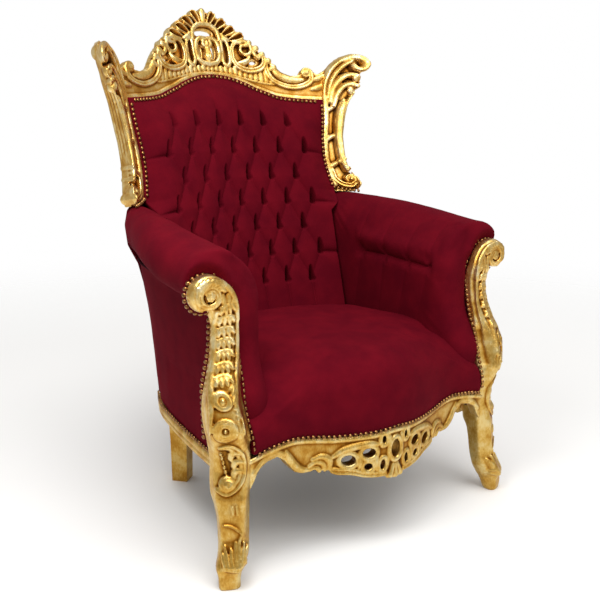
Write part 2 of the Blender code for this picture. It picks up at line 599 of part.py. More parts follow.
def rail_ornament():
    """The ridges carved on the right half of the apron."""
    lift = -0.002
    shapes = []
    shapes.append(ridge(on_rail, [(-0.004, 0.259, 0.0055), (0.012, 0.254, 0.0055), (0.019, 0.234, 0.0055),
                                  (0.013, 0.211, 0.0055), (-0.004, 0.205, 0.0055)], 1.1, lift))
    # The small shell under the ring
    for tip_x, tip_z in ((0.000, 0.166), (0.013, 0.167), (0.025, 0.172)):
        shapes.append(ridge(on_rail, [(tip_x * 0.4, 0.196, 0.003), (tip_x, tip_z, 0.0062)], 1.0, lift))
    # The scrolls round the openings
    shapes.append(ridge(on_rail, [(0.028, 0.214, 0.004), (0.030, 0.190, 0.005), (0.040, 0.178, 0.006),
                                  (0.048, 0.190, 0.005), (0.046, 0.212, 0.0055), (0.058, 0.217, 0.0055),
                                  (0.080, 0.218, 0.0055), (0.094, 0.224, 0.0055)], 1.1, lift))
    shapes.append(ridge(on_rail, [(0.022, 0.240, 0.005), (0.034, 0.242, 0.005), (0.048, 0.246, 0.006),
                                  (0.070, 0.245, 0.006), (0.090, 0.240, 0.006), (0.110, 0.233, 0.006),
                                  (0.132, 0.232, 0.006), (0.142, 0.220, 0.006), (0.140, 0.206, 0.006),
                                  (0.120, 0.200, 0.006), (0.100, 0.192, 0.0065), (0.080, 0.183, 0.006),
                                  (0.064, 0.186, 0.005), (0.060, 0.200, 0.004)], 1.1, lift))
    shapes.append(ridge(on_rail, [(0.098, 0.222, 0.0055), (0.096, 0.206, 0.005)], 1.1, lift))
    # The leaf scroll beyond them, and its curled tip
    shapes.append(ridge(on_rail, [(0.150, 0.214, 0.006), (0.165, 0.232, 0.007), (0.185, 0.238, 0.007),
                                  (0.205, 0.230, 0.006)] + volute(0.192, 0.220, 0.011, 30, -0.8, 0.005),
                        1.0, lift))
    shapes.append(ridge(on_rail, [(0.180, 0.214, 0.006), (0.215, 0.212, 0.008), (0.236, 0.222, 0.008),
                                  (0.250, 0.246, 0.007), (0.258, 0.262, 0.005)], 1.0, lift))
    # The rolled edge of the bare rail and its bracket at the leg
    shapes.append(ridge(on_rail, [(0.262, 0.252, 0.005), (0.285, 0.263, 0.006), (0.315, 0.256, 0.006),
                                  (0.340, 0.232, 0.006)], 0.9, lift))
    border = [(x, z - 0.005, 0.005) for x, z in [(-0.006, 0.279)] + RAIL_TOP_Z]
    shapes.append(ridge(on_rail, border, 0.8, lift, steps=2))
    return shapes


def make_front_rail(finish):
    """The front rail with its pierced apron."""
    outline = [(-0.008, 0.158)] + APRON_EDGE + [(x, z) for x, z in reversed(RAIL_TOP_Z)]
    outline.append((-0.008, 0.279))
    plate = slab(on_rail, outline, APRON_HOLES, -RAIL_THICKNESS, -0.002)
    rail = fuse("front_rail", [plate] + rail_ornament(), finish, FRONT_RAIL_TRIANGLES, mirrored=True)
    for x0, x1 in ((POST_INNER_X - GAP / 2, FAR), (-FAR, -POST_INNER_X + GAP / 2)):
        cut(rail, [block((x0, -FAR, 0.0), (x1, 0.0, FAR))])
    cut(rail, [swollen(seat_body())])
    return rail


# Side and back rails, and the rear legs

SHELL_PLAN = [(0.367, -0.2797), (0.362, -0.200), (0.356, -0.100), (0.348, 0.000), (0.332, 0.080),
              (0.302, 0.146)]
REAR_PLAN = [(0.3005, 0.1485), (0.250, 0.178), (0.150, 0.192), (0.000, 0.197)]
RAIL_LOW_Z = [(-0.28, 0.172), (-0.176, 0.181), (-0.123, 0.194), (-0.052, 0.205), (0.022, 0.219),
              (0.082, 0.240), (0.200, 0.246)]
RAIL_HIGH_Z = [(-0.28, 0.200), (-0.177, 0.205), (-0.124, 0.211), (-0.053, 0.220), (0.022, 0.236),
               (0.086, 0.264), (0.200, 0.272)]
SIDE_RAIL_THICKNESS = 0.028
REAR_LEG_TOP_Z = 0.2395
BACK_RAIL_Y = 0.1475         # the side rails end here, and the back rail starts


def swept_rail(name, plan, finish, cuts):
    """A rail with a rounded outer face along a plan curve, outside on the right of its direction."""
    path = curve_through(plan, 3)
    tangents = np.gradient(path, axis=0)
    rings = []
    for (x, y), (dx, dy) in zip(path, tangents):
        length = math.hypot(dx, dy)
        outward = (dy / length, -dx / length)
        low, high = follow(RAIL_LOW_Z, y), follow(RAIL_HIGH_Z, y)
        middle = (low + high) / 2
        profile = [(-SIDE_RAIL_THICKNESS, low), (-0.004, low), (0.001, low + 0.004), (0.003, middle),
                   (0.001, high - 0.004), (-0.002, high), (-SIDE_RAIL_THICKNESS, high)]
        rings.append([(x + outward[0] * out, y + outward[1] * out, z) for out, z in profile])
    rail = add_object(name, loft(rings), finish)
    cut(rail, cuts)
    return rail


def make_rear_leg(finish):
    """A plain square rear leg, turned in plan, that rakes back slightly."""
    rings = []
    for z, x, y, half in ((0.0, 0.226, 0.181, 0.021), (0.12, 0.230, 0.172, 0.0225),
                          (REAR_LEG_TOP_Z, 0.238, 0.160, 0.025)):
        turn = math.radians(-40)
        ring = []
        for u, v in ((-1, -1), (1, -1), (1, 1), (-1, 1)):
            ring.append((x + half * (u * math.cos(turn) - v * math.sin(turn)),
                         y + half * (u * math.sin(turn) + v * math.cos(turn)), z))
        rings.append(ring)
    return add_object("rear_leg_right", loft(rings), finish)


# Upholstery

ARM_TOP_Z = [(-0.28, 0.698), (-0.20, 0.706), (-0.10, 0.718), (0.00, 0.732), (0.10, 0.742),
             (0.15, 0.7460), (0.22, 0.7460)]
ARM_OUT_X = [(-0.28, 0.452), (-0.10, 0.450), (0.00, 0.432), (0.08, 0.405), (0.14, 0.380), (0.22, 0.362)]
ARM_TUCK_X = [(-0.28, 0.382), (-0.10, 0.374), (0.00, 0.370), (0.08, 0.362), (0.14, 0.345), (0.22, 0.315)]
ARM_TUCK_DROP = 0.118        # from the top of the arm to the tuck under its roll
ARM_ROUND = [(-0.28, 0.110), (-0.10, 0.100), (0.05, 0.080), (0.12, 0.045), (0.22, 0.018)]
ARM_REAR_X = [(0.2725, 0.302), (0.34, 0.304), (0.47, 0.309), (0.60, 0.330), (0.65, 0.354),
              (0.70, 0.363), (0.7466, 0.340)]
NOSE_ROUND = 0.049           # radius of the arm's padded front, in plan
NOSE_NAIL = [(0.335, 0.350, -0.320), (0.370, 0.355, -0.325), (0.400, 0.358, -0.320),
             (0.440, 0.357, -0.300), (0.480, 0.352, -0.283), (0.520, 0.348, -0.280),
             (0.600, 0.347, -0.280)]
NOSE_TOP = [(0.625, 0.012), (0.645, 0.022), (0.660, 0.033)]
REAR_SHIFT = 0.033           # from the barrel's front face to the outside of the back
PANEL_THICKNESS = 0.006
PAD_DEPTH = 0.046            # how far the buttoned padding stands in front of the barrel
PAD_EDGE = 0.003             # the same where it meets the crest and the uprights
PAD_COLUMNS = (0.0, 0.055, 0.110, 0.165, 0.220, 0.262)
BACK_FOOT_Z = 0.2725
ARM_REAR_Z = 0.7466          # the inside back widens just above the rear of the arms
LOWER_LEVELS = (BACK_FOOT_Z, 0.36, 0.47, 0.54, 0.60, 0.65, 0.70, ARM_REAR_Z)
UPPER_LEVELS = (ARM_REAR_Z + GAP, 0.80, 0.86, 0.93, 0.975, None)
BARREL_FROM_Z = 0.755        # above this the back's padding is square to the barrel


def arm_nose():
    """The arm's padded front, which swells forward beside the post."""
    rings = []
    levels = [(z, x, y, 0.0) for z, x, y in NOSE_NAIL]
    levels += [(z, *NOSE_NAIL[-1][1:], inward) for z, inward in NOSE_TOP]
    for z, x, y, inward in levels:
        u, v = x - 0.7 * NOSE_ROUND + 0.84 * inward, y + 0.7 * NOSE_ROUND + 0.54 * inward
        ring = [(u + NOSE_ROUND * math.cos(math.radians(turn)), v + NOSE_ROUND * math.sin(math.radians(turn)))
                for turn in (-45, -65, -90, -115, -140, -165)]
        ring += [(ARM_INNER_X + 0.002 + inward, POST_BACK_Y + 0.06), (x, POST_BACK_Y + 0.06)]
        rings.append([(u, v, z) for u, v in ring])
    return loft(rings)


def make_arm(finish):
    """A rolled arm with its flared outside panel, on the right."""
    rings = []
    plan = sorted((y, x) for x, y in SHELL_PLAN)
    start = POST_BACK_Y + GAP
    for share in np.linspace(0, 1, 9):
        def y_at(x, z):
            end = rear_point(x, min(z, BARREL_FROM_Z), PANEL_THICKNESS + 2 * HIDDEN_GAP).y
            return start + share * (end - start)
        y = y_at(0.34, 0.70)
        top, out, tuck = follow(ARM_TOP_Z, y), follow(ARM_OUT_X, y), follow(ARM_TUCK_X, y)
        tuck_z = top - ARM_TUCK_DROP
        y_foot = y_at(0.30, BACK_FOOT_Z)
        foot = max(follow(plan, y_foot) - 0.001, ARM_INNER_X + 0.033)
        foot_z = follow(RAIL_HIGH_Z, y_foot) + 0.003
        ring = [(ARM_INNER_X, foot_z + 0.015), (ARM_INNER_X, 0.45)]
        bend = follow(ARM_ROUND, y)
        for turn in (0, 28, 55, 80):
            a = math.radians(turn)
            ring.append((ARM_INNER_X + bend * (1 - math.cos(a)), top - bend * (1 - math.sin(a))))
        ring += [(max(0.55 * ARM_INNER_X + 0.45 * out, ARM_INNER_X + bend), top), (out - 0.045, top - 0.004),
                 (out - 0.016, top - 0.020), (out, top - 0.050), (out - 0.003, top - 0.078),
                 (out - 0.025, top - 0.106), (tuck + 0.004, tuck_z), (tuck, tuck_z - 0.010),
                 (foot + 0.45 * max(tuck - foot, 0), 0.47), (foot + 0.002, 0.34), (foot, foot_z)]
        rings.append([(x, y_at(x, z), z) for x, z in ring])
    arm = add_object("arm_upholstery_right", loft(rings), finish)
    cut(arm, [arm_nose()], "UNION")
    return arm


def seat_back_y(x):
    """Where the seat meets the buttoned back."""
    return back_y(x, 0.44) - PAD_DEPTH


def seat_body():
    """The domed seat, rounded down to the nail line at the front."""
    rings = []
    half = 0.5 * SEAT_WIDTH_FRONT
    inner = ARM_INNER_X - 2 * GAP
    beside = (half, 0.322, 0.295, ARM_INNER_X - GAP)
    columns = [-x for x in beside] + across_pad(inner) + list(reversed(beside))
    for x in columns:
        wide = abs(x) > inner + GAP / 2
        front = rail_y(x)
        fall = follow(RAIL_TOP_Z, abs(x)) + 0.001
        rear = POST_BACK_Y - GAP if wide else seat_back_y(x) - GAP
        crown = SEAT_TOP_Z - 0.010 * (x / inner) ** 2
        brow = SEAT_TOP_Z - 0.012 - 0.075 * (abs(x) / 0.34) ** 3
        behind = front + RAIL_THICKNESS + 0.004
        ring = [(behind, SEAT_UNDER_Z), (behind, fall), (front + 0.001, fall),
                (front - 0.004, fall + 0.30 * (brow - fall)), (front + 0.002, fall + 0.62 * (brow - fall)),
                (front + 0.018, fall + 0.85 * (brow - fall)), (front + 0.048, brow)]
        if wide:
            ring += [(front + 0.054, brow + 0.001), (rear - 0.006, brow + 0.003), (rear, brow + 0.003)]
        else:
            ring += [(-0.22, 0.4 * brow + 0.6 * crown), (-0.08, crown), (rear, crown - 0.012)]
        ring.append((rear, SEAT_UNDER_Z))
        rings.append([(x, y, z) for y, z in ring])
    return loft(rings)


def make_seat(finish):
    """The seat, with room for the swollen fronts of the arms."""
    seat = add_object("seat_upholstery", seat_body(), finish)
    other = swollen(arm_nose())
    bmesh.ops.scale(other, vec=(-1, 1, 1), verts=other.verts)
    bmesh.ops.reverse_faces(other, faces=other.faces)
    cut(seat, [swollen(arm_nose()), other])
    return seat


def across_pad(half):
    """Where the columns of the padding's mesh are, out to a half width."""
    right = list(PAD_COLUMNS[1:]) + [half]
    return [-x for x in reversed(right)] + [0.0] + right


def pad_half_width(z):
    """Half the width of the inside back at a height."""
    side = [(pz, px) for px, pz in reversed(VELVET_SIDE)]
    table = [(0.20, ARM_INNER_X - GAP), (ARM_REAR_Z, ARM_INNER_X - GAP), (ARM_REAR_Z + GAP, 0.297)]
    table += side + [(CORNER_Z, 0.302)]
    return follow(table, z) - GAP


def pad_height(x, z):
    """How far the inside back's padding stands in front of the barrel."""
    across = min(abs(x) / pad_half_width(z), 1.0)
    below_crest = max(follow(VELVET_TOP, abs(x)) - z, 0.0)
    above_arm = min(max((z - ARM_REAR_Z - GAP) / 0.06, 0.0), 1.0)
    edge = 1.0 - above_arm * across ** 4
    return PAD_EDGE + (PAD_DEPTH - PAD_EDGE) * edge * min(below_crest / 0.12, 1.0) ** 0.6


def rear_point(x, z, inset):
    """A point on the outside of the back, set in by some depth: flatter below, down to the back rail."""
    if z > BARREL_FROM_Z:
        return on_back(x, z, inset - REAR_SHIFT)
    foot = follow(sorted(REAR_PLAN), abs(x)) - 0.003
    level = (z - BACK_FOOT_Z) / (BARREL_FROM_Z - BACK_FOOT_Z)
    return Vector((x, foot + level * (back_y(x, BARREL_FROM_Z) + REAR_SHIFT - foot) - inset, z))


def panel_half_width(z):
    """Half the width of the outside back, which also closes the rear of the arms."""
    return follow(ARM_REAR_X, z) if z <= ARM_REAR_Z else pad_half_width(z)


def back_rings(half_width, front_point, inset, levels):
    """Rings of a layer of the back, up to the crest, with its rear at an inset."""
    rings = []
    for z in levels:
        front, rear = [], []
        for x in across_pad(half_width(z or CORNER_Z)):
            level = z or follow(VELVET_TOP, abs(x)) - 2 * GAP
            front.append(front_point(x, level))
            rear.append(rear_point(x, level, inset))
        rings.append(front + rear[::-1])
    return rings


def pad_front(x, z):
    """The front of the inside back's padding."""
    if z > BARREL_FROM_Z:
        return on_back(x, z, pad_height(x, z))
    if z > 0.46:
        return Vector((x, back_y(x, z) - pad_height(x, z), z))
    return Vector((x, seat_back_y(x), z))


def back_pad(levels=LOWER_LEVELS + UPPER_LEVELS):
    """The inside back's padding, between the uprights and down behind the seat."""
    rings = back_rings(pad_half_width, pad_front, PANEL_THICKNESS + HIDDEN_GAP, levels)
    return loft(rings, layered=True)


def outside_panel(levels=LOWER_LEVELS + UPPER_LEVELS):
    """The cloth panel that closes the back from behind."""
    def front(x, z):
        return rear_point(x, z, PANEL_THICKNESS)
    return loft(back_rings(panel_half_width, front, 0.0, levels), layered=True)


def finish_all():
    """Centre the chair on the origin in plan, and shade its rounded pieces smooth."""
    things = [thing for thing in bpy.data.objects if thing.type == "MESH"]
    for thing in things:
        clean(thing)
        for point in thing.data.vertices:
            point.co.y -= CENTRE_Y
        thing.data.shade_smooth()
        thing.data.set_sharp_from_angle(angle=math.radians(SHARP_ANGLE))


def build():
    """Make every piece."""
    clear_scene()
    gold = make_material("gilded_wood", (0.80, 0.52, 0.16), 0.32, 1.0)
    velvet = make_material("burgundy_velvet", (0.13, 0.008, 0.018), 0.85, 0.0)
    make_crest(gold)
    copy_to_left(make_stile(gold), "back_stile_left")
    copy_to_left(make_front_leg(gold), "front_leg_left")
    make_front_rail(gold)
    ahead = block((0.2, -0.4, 0.1), (0.5, POST_BACK_Y + GAP, 0.5))
    corner = block((0.2, BACK_RAIL_Y, 0.1), (0.5, 0.3, 0.5))
    copy_to_left(swept_rail("side_rail_right", SHELL_PLAN, gold, [ahead, corner]), "side_rail_left")
    back_plan = REAR_PLAN[:-1] + [(-x, y) for x, y in reversed(REAR_PLAN)]
    corner = block((-0.4, 0.0, 0.1), (0.4, BACK_RAIL_Y + GAP, 0.5))
    swept_rail("back_rail", back_plan, gold, [corner])
    copy_to_left(make_rear_leg(gold), "rear_leg_left")
    make_seat(velvet)
    add_object("back_upholstery", back_pad(), velvet)
    copy_to_left(make_arm(velvet), "arm_upholstery_left")
    add_object("outside_back", outside_panel(), velvet)
    finish_all()


build()
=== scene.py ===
"""The looks of the throne: carved and gilded wood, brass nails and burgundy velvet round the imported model.

Lengths are metres. Shapes are drawn with the chair's middle at CENTRE_Y and are moved onto the frame
when they are finished. Left is -X, and the chair faces -Y.
"""

import math

import bmesh
import bpy
import numpy as np
from mathutils import Matrix, Vector
from mathutils.geometry import delaunay_2d_cdt


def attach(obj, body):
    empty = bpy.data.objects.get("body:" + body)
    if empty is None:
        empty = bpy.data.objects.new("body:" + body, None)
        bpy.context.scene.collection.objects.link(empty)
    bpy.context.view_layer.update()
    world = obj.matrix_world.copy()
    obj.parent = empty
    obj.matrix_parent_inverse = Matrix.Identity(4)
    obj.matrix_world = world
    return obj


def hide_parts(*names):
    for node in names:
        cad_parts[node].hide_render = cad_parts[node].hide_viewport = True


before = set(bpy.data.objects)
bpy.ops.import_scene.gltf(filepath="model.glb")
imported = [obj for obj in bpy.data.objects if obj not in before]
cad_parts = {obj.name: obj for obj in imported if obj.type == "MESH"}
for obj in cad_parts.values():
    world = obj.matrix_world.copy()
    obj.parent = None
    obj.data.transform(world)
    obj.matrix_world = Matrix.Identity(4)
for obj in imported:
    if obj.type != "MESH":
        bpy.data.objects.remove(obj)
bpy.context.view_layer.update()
bpy.ops.object.select_all(action="DESELECT")

MM = 0.001
CENTRE_Y = 0.009

# The back's barrel, the uprights' turn and the front rail's serpentine
BACK_Y = 0.341
RAKE = 0.27
BOW = 0.94
FRAME_THICKNESS = 0.036
STILE_INNER_X = 0.298
STILE_DRAW_IN = 0.25
STILE_TURN = 0.5
HORN_X = 0.34
HORN_CURL = 0.6
STILE_BASE_Z = 0.7475
CORNER_Z = 0.998
RAIL_CENTRE_Y = -0.415
RAIL_END_Y = -0.353
RAIL_BOW_HALF = 0.26
RAIL_THICKNESS = 0.03
POST_BACK_Y = -0.28
ARM_INNER_X = 0.268
SEAT_TOP_Z = 0.452
SEAT_UNDER_Z = 0.226
REAR_SHIFT = 0.033
PAD_DEPTH = 0.046
PAD_EDGE = 0.003
ARM_REAR_Z = 0.7466
BACK_FOOT_Z = 0.2725
BARREL_FROM_Z = 0.755

# How fine each piece is remeshed, how much of the crest's mesh stays, how far the cloth may swell,
# and how full each pad is
CREST_VOXEL = 0.0017
UPRIGHT_VOXEL = 0.0016
LEG_VOXEL = 0.0018
RAIL_VOXEL = 0.0017
CLOTH_VOXEL = 0.0052
SEAT_VOXEL = 0.006
CREST_KEPT = 0.74
ARM_SWELL = 0.005
SEAT_SWELL = 0.006
BUTTON_RADIUS = 0.0062

# The photograph's viewpoint, found from the chair's own symmetry
CAMERA_PLACE = (-1.226, -1.721, 0.964)
CAMERA_PITCH = math.radians(90 - 12.52)
CAMERA_TURN = -math.radians(36.39)
CAMERA_LENS = 50.4


# Curves and surfaces

def curve_through(points, steps):
    """A smooth curve through points of any dimension, with the given steps in each span."""
    knots = np.array(points, float)
    padded = np.vstack([2 * knots[0] - knots[1], knots, 2 * knots[-1] - knots[-2]])
    curve = []
    for a, b, c, d in zip(padded, padded[1:], padded[2:], padded[3:]):
        for step in range(steps):
            t = step / steps
            curve.append(0.5 * (2 * b + (c - a) * t + (2 * a - 5 * b + 4 * c - d) * t ** 2
                                + (3 * b - a - 3 * c + d) * t ** 3))
    curve.append(knots[-1])
    return np.array(curve)


def follow(table, value):
    """Read a table of (where, how much) pairs at one place."""
    where, amount = zip(*table)
    return float(np.interp(value, where, amount))


def back_y(x, z):
    """The front face of the back's barrel, which leans back and curves round the sitter."""
    return BACK_Y + RAKE * (z - 1.0) - BOW * x * x


def off_back(x, *_):
    """The way the barrel's front face looks."""
    return Vector((-2 * BOW * x, -1.0, RAKE)).normalized()


def on_back(x, z, height):
    """A point at a height above the barrel's front face, measured square to it."""
    return Vector((x, back_y(x, z), z)) + off_back(x) * float(height)


def on_stile(x, z, height):
    """As on_back for an upright, whose front turns forward and whose outer side draws in to the rear."""
    depth = min(max(-height / FRAME_THICKNESS, 0.0), 1.0)
    beyond = max(x - STILE_INNER_X, 0.0)
    point = on_back(x - STILE_DRAW_IN * depth * beyond, z, height)
    point.y -= (1 - depth) * STILE_TURN * beyond + depth * HORN_CURL * max(x - HORN_X, 0.0)
    return point


def rail_y(x):
    """The serpentine face of the front rail."""
    bow = 0.5 + 0.5 * math.cos(math.pi * min(abs(x) / RAIL_BOW_HALF, 1.0))
    return RAIL_END_Y + (RAIL_CENTRE_Y - RAIL_END_Y) * bow


def on_rail(x, z, height):
    """A point at a height above the front rail's face."""
    slope = (rail_y(x + 0.001) - rail_y(x - 0.001)) / 0.002
    outward = Vector((slope, -1.0, 0.0)).normalized()
    return Vector((x, rail_y(x), z)) + outward * float(height)


def post_front_y(x, z):
    """The front of the leg, which turns outwards beyond its axis as a cabriole leg does."""
    beyond = x - follow(LEG_AXIS, z)
    short = follow(KNEE_CUT, z) - x
    turned = follow(LEG_TURN, z) * max(beyond, 0.0) + KNEE_CUT_SLOPE * max(short, 0.0)
    return follow(LEG_FRONT_Y, z) + turned


def on_post(x, z, height):
    """A point at a height above the front of the leg and its arm post."""
    return Vector((x + 0.35 * follow(LEG_TURN, z) * height, post_front_y(x, z) - height, z))


# Meshes

def make_mesh(points, faces):
    """A bmesh from points and faces, with its faces outwards."""
    shape = bmesh.new()
    made = [shape.verts.new(point) for point in points]
    for face in faces:
        shape.faces.new([made[index] for index in face])
    bmesh.ops.recalc_face_normals(shape, faces=shape.faces)
    return shape


def loft(rings):
    """A closed solid through rings that all have the same number of points."""
    count = len(rings[0])
    points = [point for ring in rings for point in ring]
    faces = []
    for row in range(len(rings) - 1):
        for column in range(count):
            beside = (column + 1) % count
            faces.append((row * count + column, row * count + beside,
                          (row + 1) * count + beside, (row + 1) * count + column))
    faces.append(tuple(range(count)))
    faces.append(tuple(range((len(rings) - 1) * count, len(points))))
    return make_mesh(points, faces)


def inside(point, outline):
    """Whether a point lies inside an outline."""
    u, v = point
    found = False
    for (u0, v0), (u1, v1) in zip(outline, outline[1:] + outline[:1]):
        if (v0 > v) != (v1 > v) and u < u0 + (u1 - u0) * (v - v0) / (v1 - v0):
            found = not found
    return found


def slab(place, outline, holes, low, high, grid=0.012):
    """A pierced plate laid on a surface, from one height above it to another."""
    outline = [tuple(point) for point in outline]
    points, edges = [], []
    for loop in [outline] + holes:
        first = len(points)
        points += [Vector(point) for point in loop]
        edges += [(first + i, first + (i + 1) % len(loop)) for i in range(len(loop))]
    (u0, v0), (u1, v1) = np.min(outline, axis=0), np.max(outline, axis=0)
    for u in np.arange(u0 + grid / 2, u1, grid):
        for v in np.arange(v0 + grid / 2, v1, grid):
            if inside((u, v), outline) and not any(inside((u, v), hole) for hole in holes):
                points.append(Vector((u, v)))
    flat, _, triangles, *_ = delaunay_2d_cdt(points, edges, [], 1, 1e-6)
    kept = []
    for triangle in triangles:
        centre = sum((flat[i] for i in triangle), Vector((0, 0))) / 3
        if inside(centre, outline) and not any(inside(centre, hole) for hole in holes):
            kept.append(triangle)
    used = sorted({i for triangle in kept for i in triangle})
    front = {old: new for new, old in enumerate(used)}
    total = len(used)
    solid = [place(*flat[i], high) for i in used] + [place(*flat[i], low) for i in used]
    faces = [tuple(front[i] for i in triangle) for triangle in kept]
    faces += [tuple(front[i] + total for i in reversed(triangle)) for triangle in kept]
    sides = {}
    for triangle in kept:
        for a, b in zip(triangle, triangle[1:] + triangle[:1]):
            sides[(front[a], front[b])] = True
    faces += [(b, a, a + total, b + total) for a, b in sides if (b, a) not in sides]
    return make_mesh(solid, faces)


# Cross sections of a carved ridge, as (across, up) in half widths, round from one edge to the other
BELOW = [(0.7, -0.8), (0.0, -1.1), (-0.7, -0.8)]
FORMS = {
    "round": [(-1.0, 0.0), (-0.87, 0.5), (-0.5, 0.87), (0.0, 1.0), (0.5, 0.87), (0.87, 0.5), (1.0, 0.0)],
    "groove": [(-1.0, 0.0), (-0.85, 0.65), (-0.55, 0.95), (-0.25, 0.8), (0.0, 0.3), (0.25, 0.8),
               (0.55, 0.95), (0.85, 0.65), (1.0, 0.0)],
    "hollow": [(-1.0, 0.0), (-0.92, 0.7), (-0.72, 1.0), (-0.5, 0.75), (-0.25, 0.35), (0.0, 0.22),
               (0.25, 0.35), (0.5, 0.75), (0.72, 1.0), (0.92, 0.7), (1.0, 0.0)],
    "petal": [(-1.0, 0.0), (-0.93, 0.6), (-0.75, 1.0), (-0.55, 0.75), (-0.36, -0.2), (0.0, -0.6),
              (0.36, -0.2), (0.55, 0.75), (0.75, 1.0), (0.93, 0.6), (1.0, 0.0)],
    "leaf": [(-1.0, 0.0), (-0.75, 0.55), (-0.4, 0.75), (-0.14, 1.0), (0.0, 0.62), (0.14, 1.0),
             (0.4, 0.75), (0.75, 0.55), (1.0, 0.0)],
}


def ridge(place, points, form="round", rise=1.0, lift=0.0, steps=7, root=None):
    """A carved ridge laid on a surface, through points that give (across, up, half width).

    Its underside follows its width, or goes down to the height root.
    """
    path = curve_through(points, steps)
    tangents = np.gradient(path[:, :2], axis=0)
    tangents /= np.linalg.norm(tangents, axis=1)[:, None]
    ends = (0.15, 0.45, 0.8)
    stations = [(path[0][:2] - tangents[0] * path[0][2] * math.cos(e * math.pi / 2),
                 tangents[0], path[0][2] * math.sin(e * math.pi / 2)) for e in ends]
    stations += [(p[:2], t, p[2]) for p, t in zip(path, tangents)]
    stations += [(path[-1][:2] + tangents[-1] * path[-1][2] * math.cos(e * math.pi / 2),
                  tangents[-1], path[-1][2] * math.sin(e * math.pi / 2)) for e in reversed(ends)]
    rings = []
    for (u, v), (du, dv), half in stations:
        ring = [(across, lift + rise * up * half) for across, up in FORMS[form]]
        if root is None:
            ring += [(across, lift + rise * up * half) for across, up in BELOW]
        else:
            ring += [(0.9, root), (-0.9, root)]
        rings.append([place(u - dv * across * half, v + du * across * half, height)
                      for across, height in ring])
    return loft(rings)


def oval(u, v, half_u, half_v, tilt=0.0, count=20):
    """An oval outline, turned by a tilt in degrees."""
    turn = math.radians(tilt)
    points = []
    for i in range(count):
        a = 2 * math.pi * i / count
        x, y = half_u * math.cos(a), half_v * math.sin(a)
        points.append((u + x * math.cos(turn) - y * math.sin(turn),
                       v + x * math.sin(turn) + y * math.cos(turn)))
    return points


def rim(place, u, v, half_u, half_v, tilt, half, form="round", rise=1.0, lift=0.0):
    """A raised lip round an oval."""
    ring = [(*point, half) for point in oval(u, v, half_u, half_v, tilt, 10)]
    return ridge(place, ring + ring[:2], form, rise, lift, steps=4)


def volute(u, v, radius, start, turns, half, end_radius=0.35, count=12):
    """Points of a scroll's end that winds in towards its eye, start in degrees, turns signed."""
    points = []
    for i in range(count):
        share = i / (count - 1)
        angle = math.radians(start) + 2 * math.pi * turns * share
        r = radius * (1 - (1 - end_radius) * share)
        points.append((u + r * math.cos(angle), v + r * math.sin(angle), half * (1 - 0.35 * share)))
    return points


def lump(centre, sizes):
    """A closed rounded lump with these half sizes along x, y and z."""
    shape = bmesh.new()
    bmesh.ops.create_uvsphere(shape, u_segments=20, v_segments=12, radius=1.0,
                              matrix=Matrix.Translation(centre) @ Matrix.Diagonal((*sizes, 1.0)))
    return shape


# Objects

def activate(thing):
    """Make an object the only one that operators work on."""
    bpy.ops.object.select_all(action="DESELECT")
    thing.select_set(True)
    bpy.context.view_layer.objects.active = thing


def new_object(name, data):
    """Link an object to the scene, at the origin."""
    made = bpy.data.objects.new(name, data)
    bpy.context.scene.collection.objects.link(made)
    return made


def edit_mesh(thing, *steps):
    """Run mesh operators on the whole of an object, each step an operator with its settings."""
    activate(thing)
    bpy.ops.object.mode_set(mode="EDIT")
    for operator, settings in steps:
        bpy.ops.mesh.select_all(action="SELECT")
        operator(**settings)
    bpy.ops.object.mode_set(mode="OBJECT")


def modify(thing, kind, **settings):
    """Add a modifier, set it and apply it."""
    activate(thing)
    bpy.ops.object.modifier_add(type=kind)
    modifier = thing.modifiers[-1]
    for name, value in settings.items():
        setattr(modifier, name, value)
    bpy.ops.object.modifier_apply(modifier=modifier.name)


def join_meshes(name, meshes):
    """One object from passing meshes, which this removes."""
    joined = bmesh.new()
    for mesh in meshes:
        joined.from_mesh(mesh)
        bpy.data.meshes.remove(mesh)
    mesh = bpy.data.meshes.new(name)
    joined.to_mesh(mesh)
    joined.free()
    return new_object(name, mesh)


def add_object(name, shapes):
    """Join closed shapes into one object."""
    meshes = []
    for shape in shapes:
        meshes.append(bpy.data.meshes.new("passing"))
        shape.to_mesh(meshes[-1])
        shape.free()
    return join_meshes(name, meshes)


def mirrored_half(thing):
    """Keep the right half of an object and mirror it."""
    shape = bmesh.new()
    shape.from_mesh(thing.data)
    bmesh.ops.bisect_plane(shape, geom=shape.verts[:] + shape.edges[:] + shape.faces[:],
                           plane_co=(0, 0, 0), plane_no=(1, 0, 0), clear_inner=True)
    shape.to_mesh(thing.data)
    shape.free()
    modify(thing, "MIRROR", merge_threshold=0.0001, use_clip=True)


def twin(thing, name):
    """The left-hand copy of a right-hand piece, with its own mesh."""
    mesh = thing.data.copy()
    for point in mesh.vertices:
        point.co.x = -point.co.x
    mesh.flip_normals()
    return new_object(name, mesh)


def places_of(thing):
    """The points of an object's mesh and their normals."""
    found = []
    for kind in ("co", "normal"):
        values = np.empty(len(thing.data.vertices) * 3)
        thing.data.vertices.foreach_get(kind, values)
        found.append(values.reshape(-1, 3))
    return found


def put_places(thing, place):
    """Move an object's points."""
    thing.data.vertices.foreach_set("co", place.reshape(-1))
    thing.data.update()


def neighbours_mean(thing):
    """A function that averages values over the neighbours of each of an object's points."""
    mesh = thing.data
    count = len(mesh.vertices)
    ends = np.empty(len(mesh.edges) * 2, np.int64)
    mesh.edges.foreach_get("vertices", ends)
    a, b = ends.reshape(-1, 2).T
    degree = np.maximum(np.bincount(a, minlength=count) + np.bincount(b, minlength=count), 1)

    def mean(values):
        columns = [np.bincount(a, column[b], count) + np.bincount(b, column[a], count)
                   for column in values.T]
        return np.stack(columns, -1) / degree[:, None]

    return mean


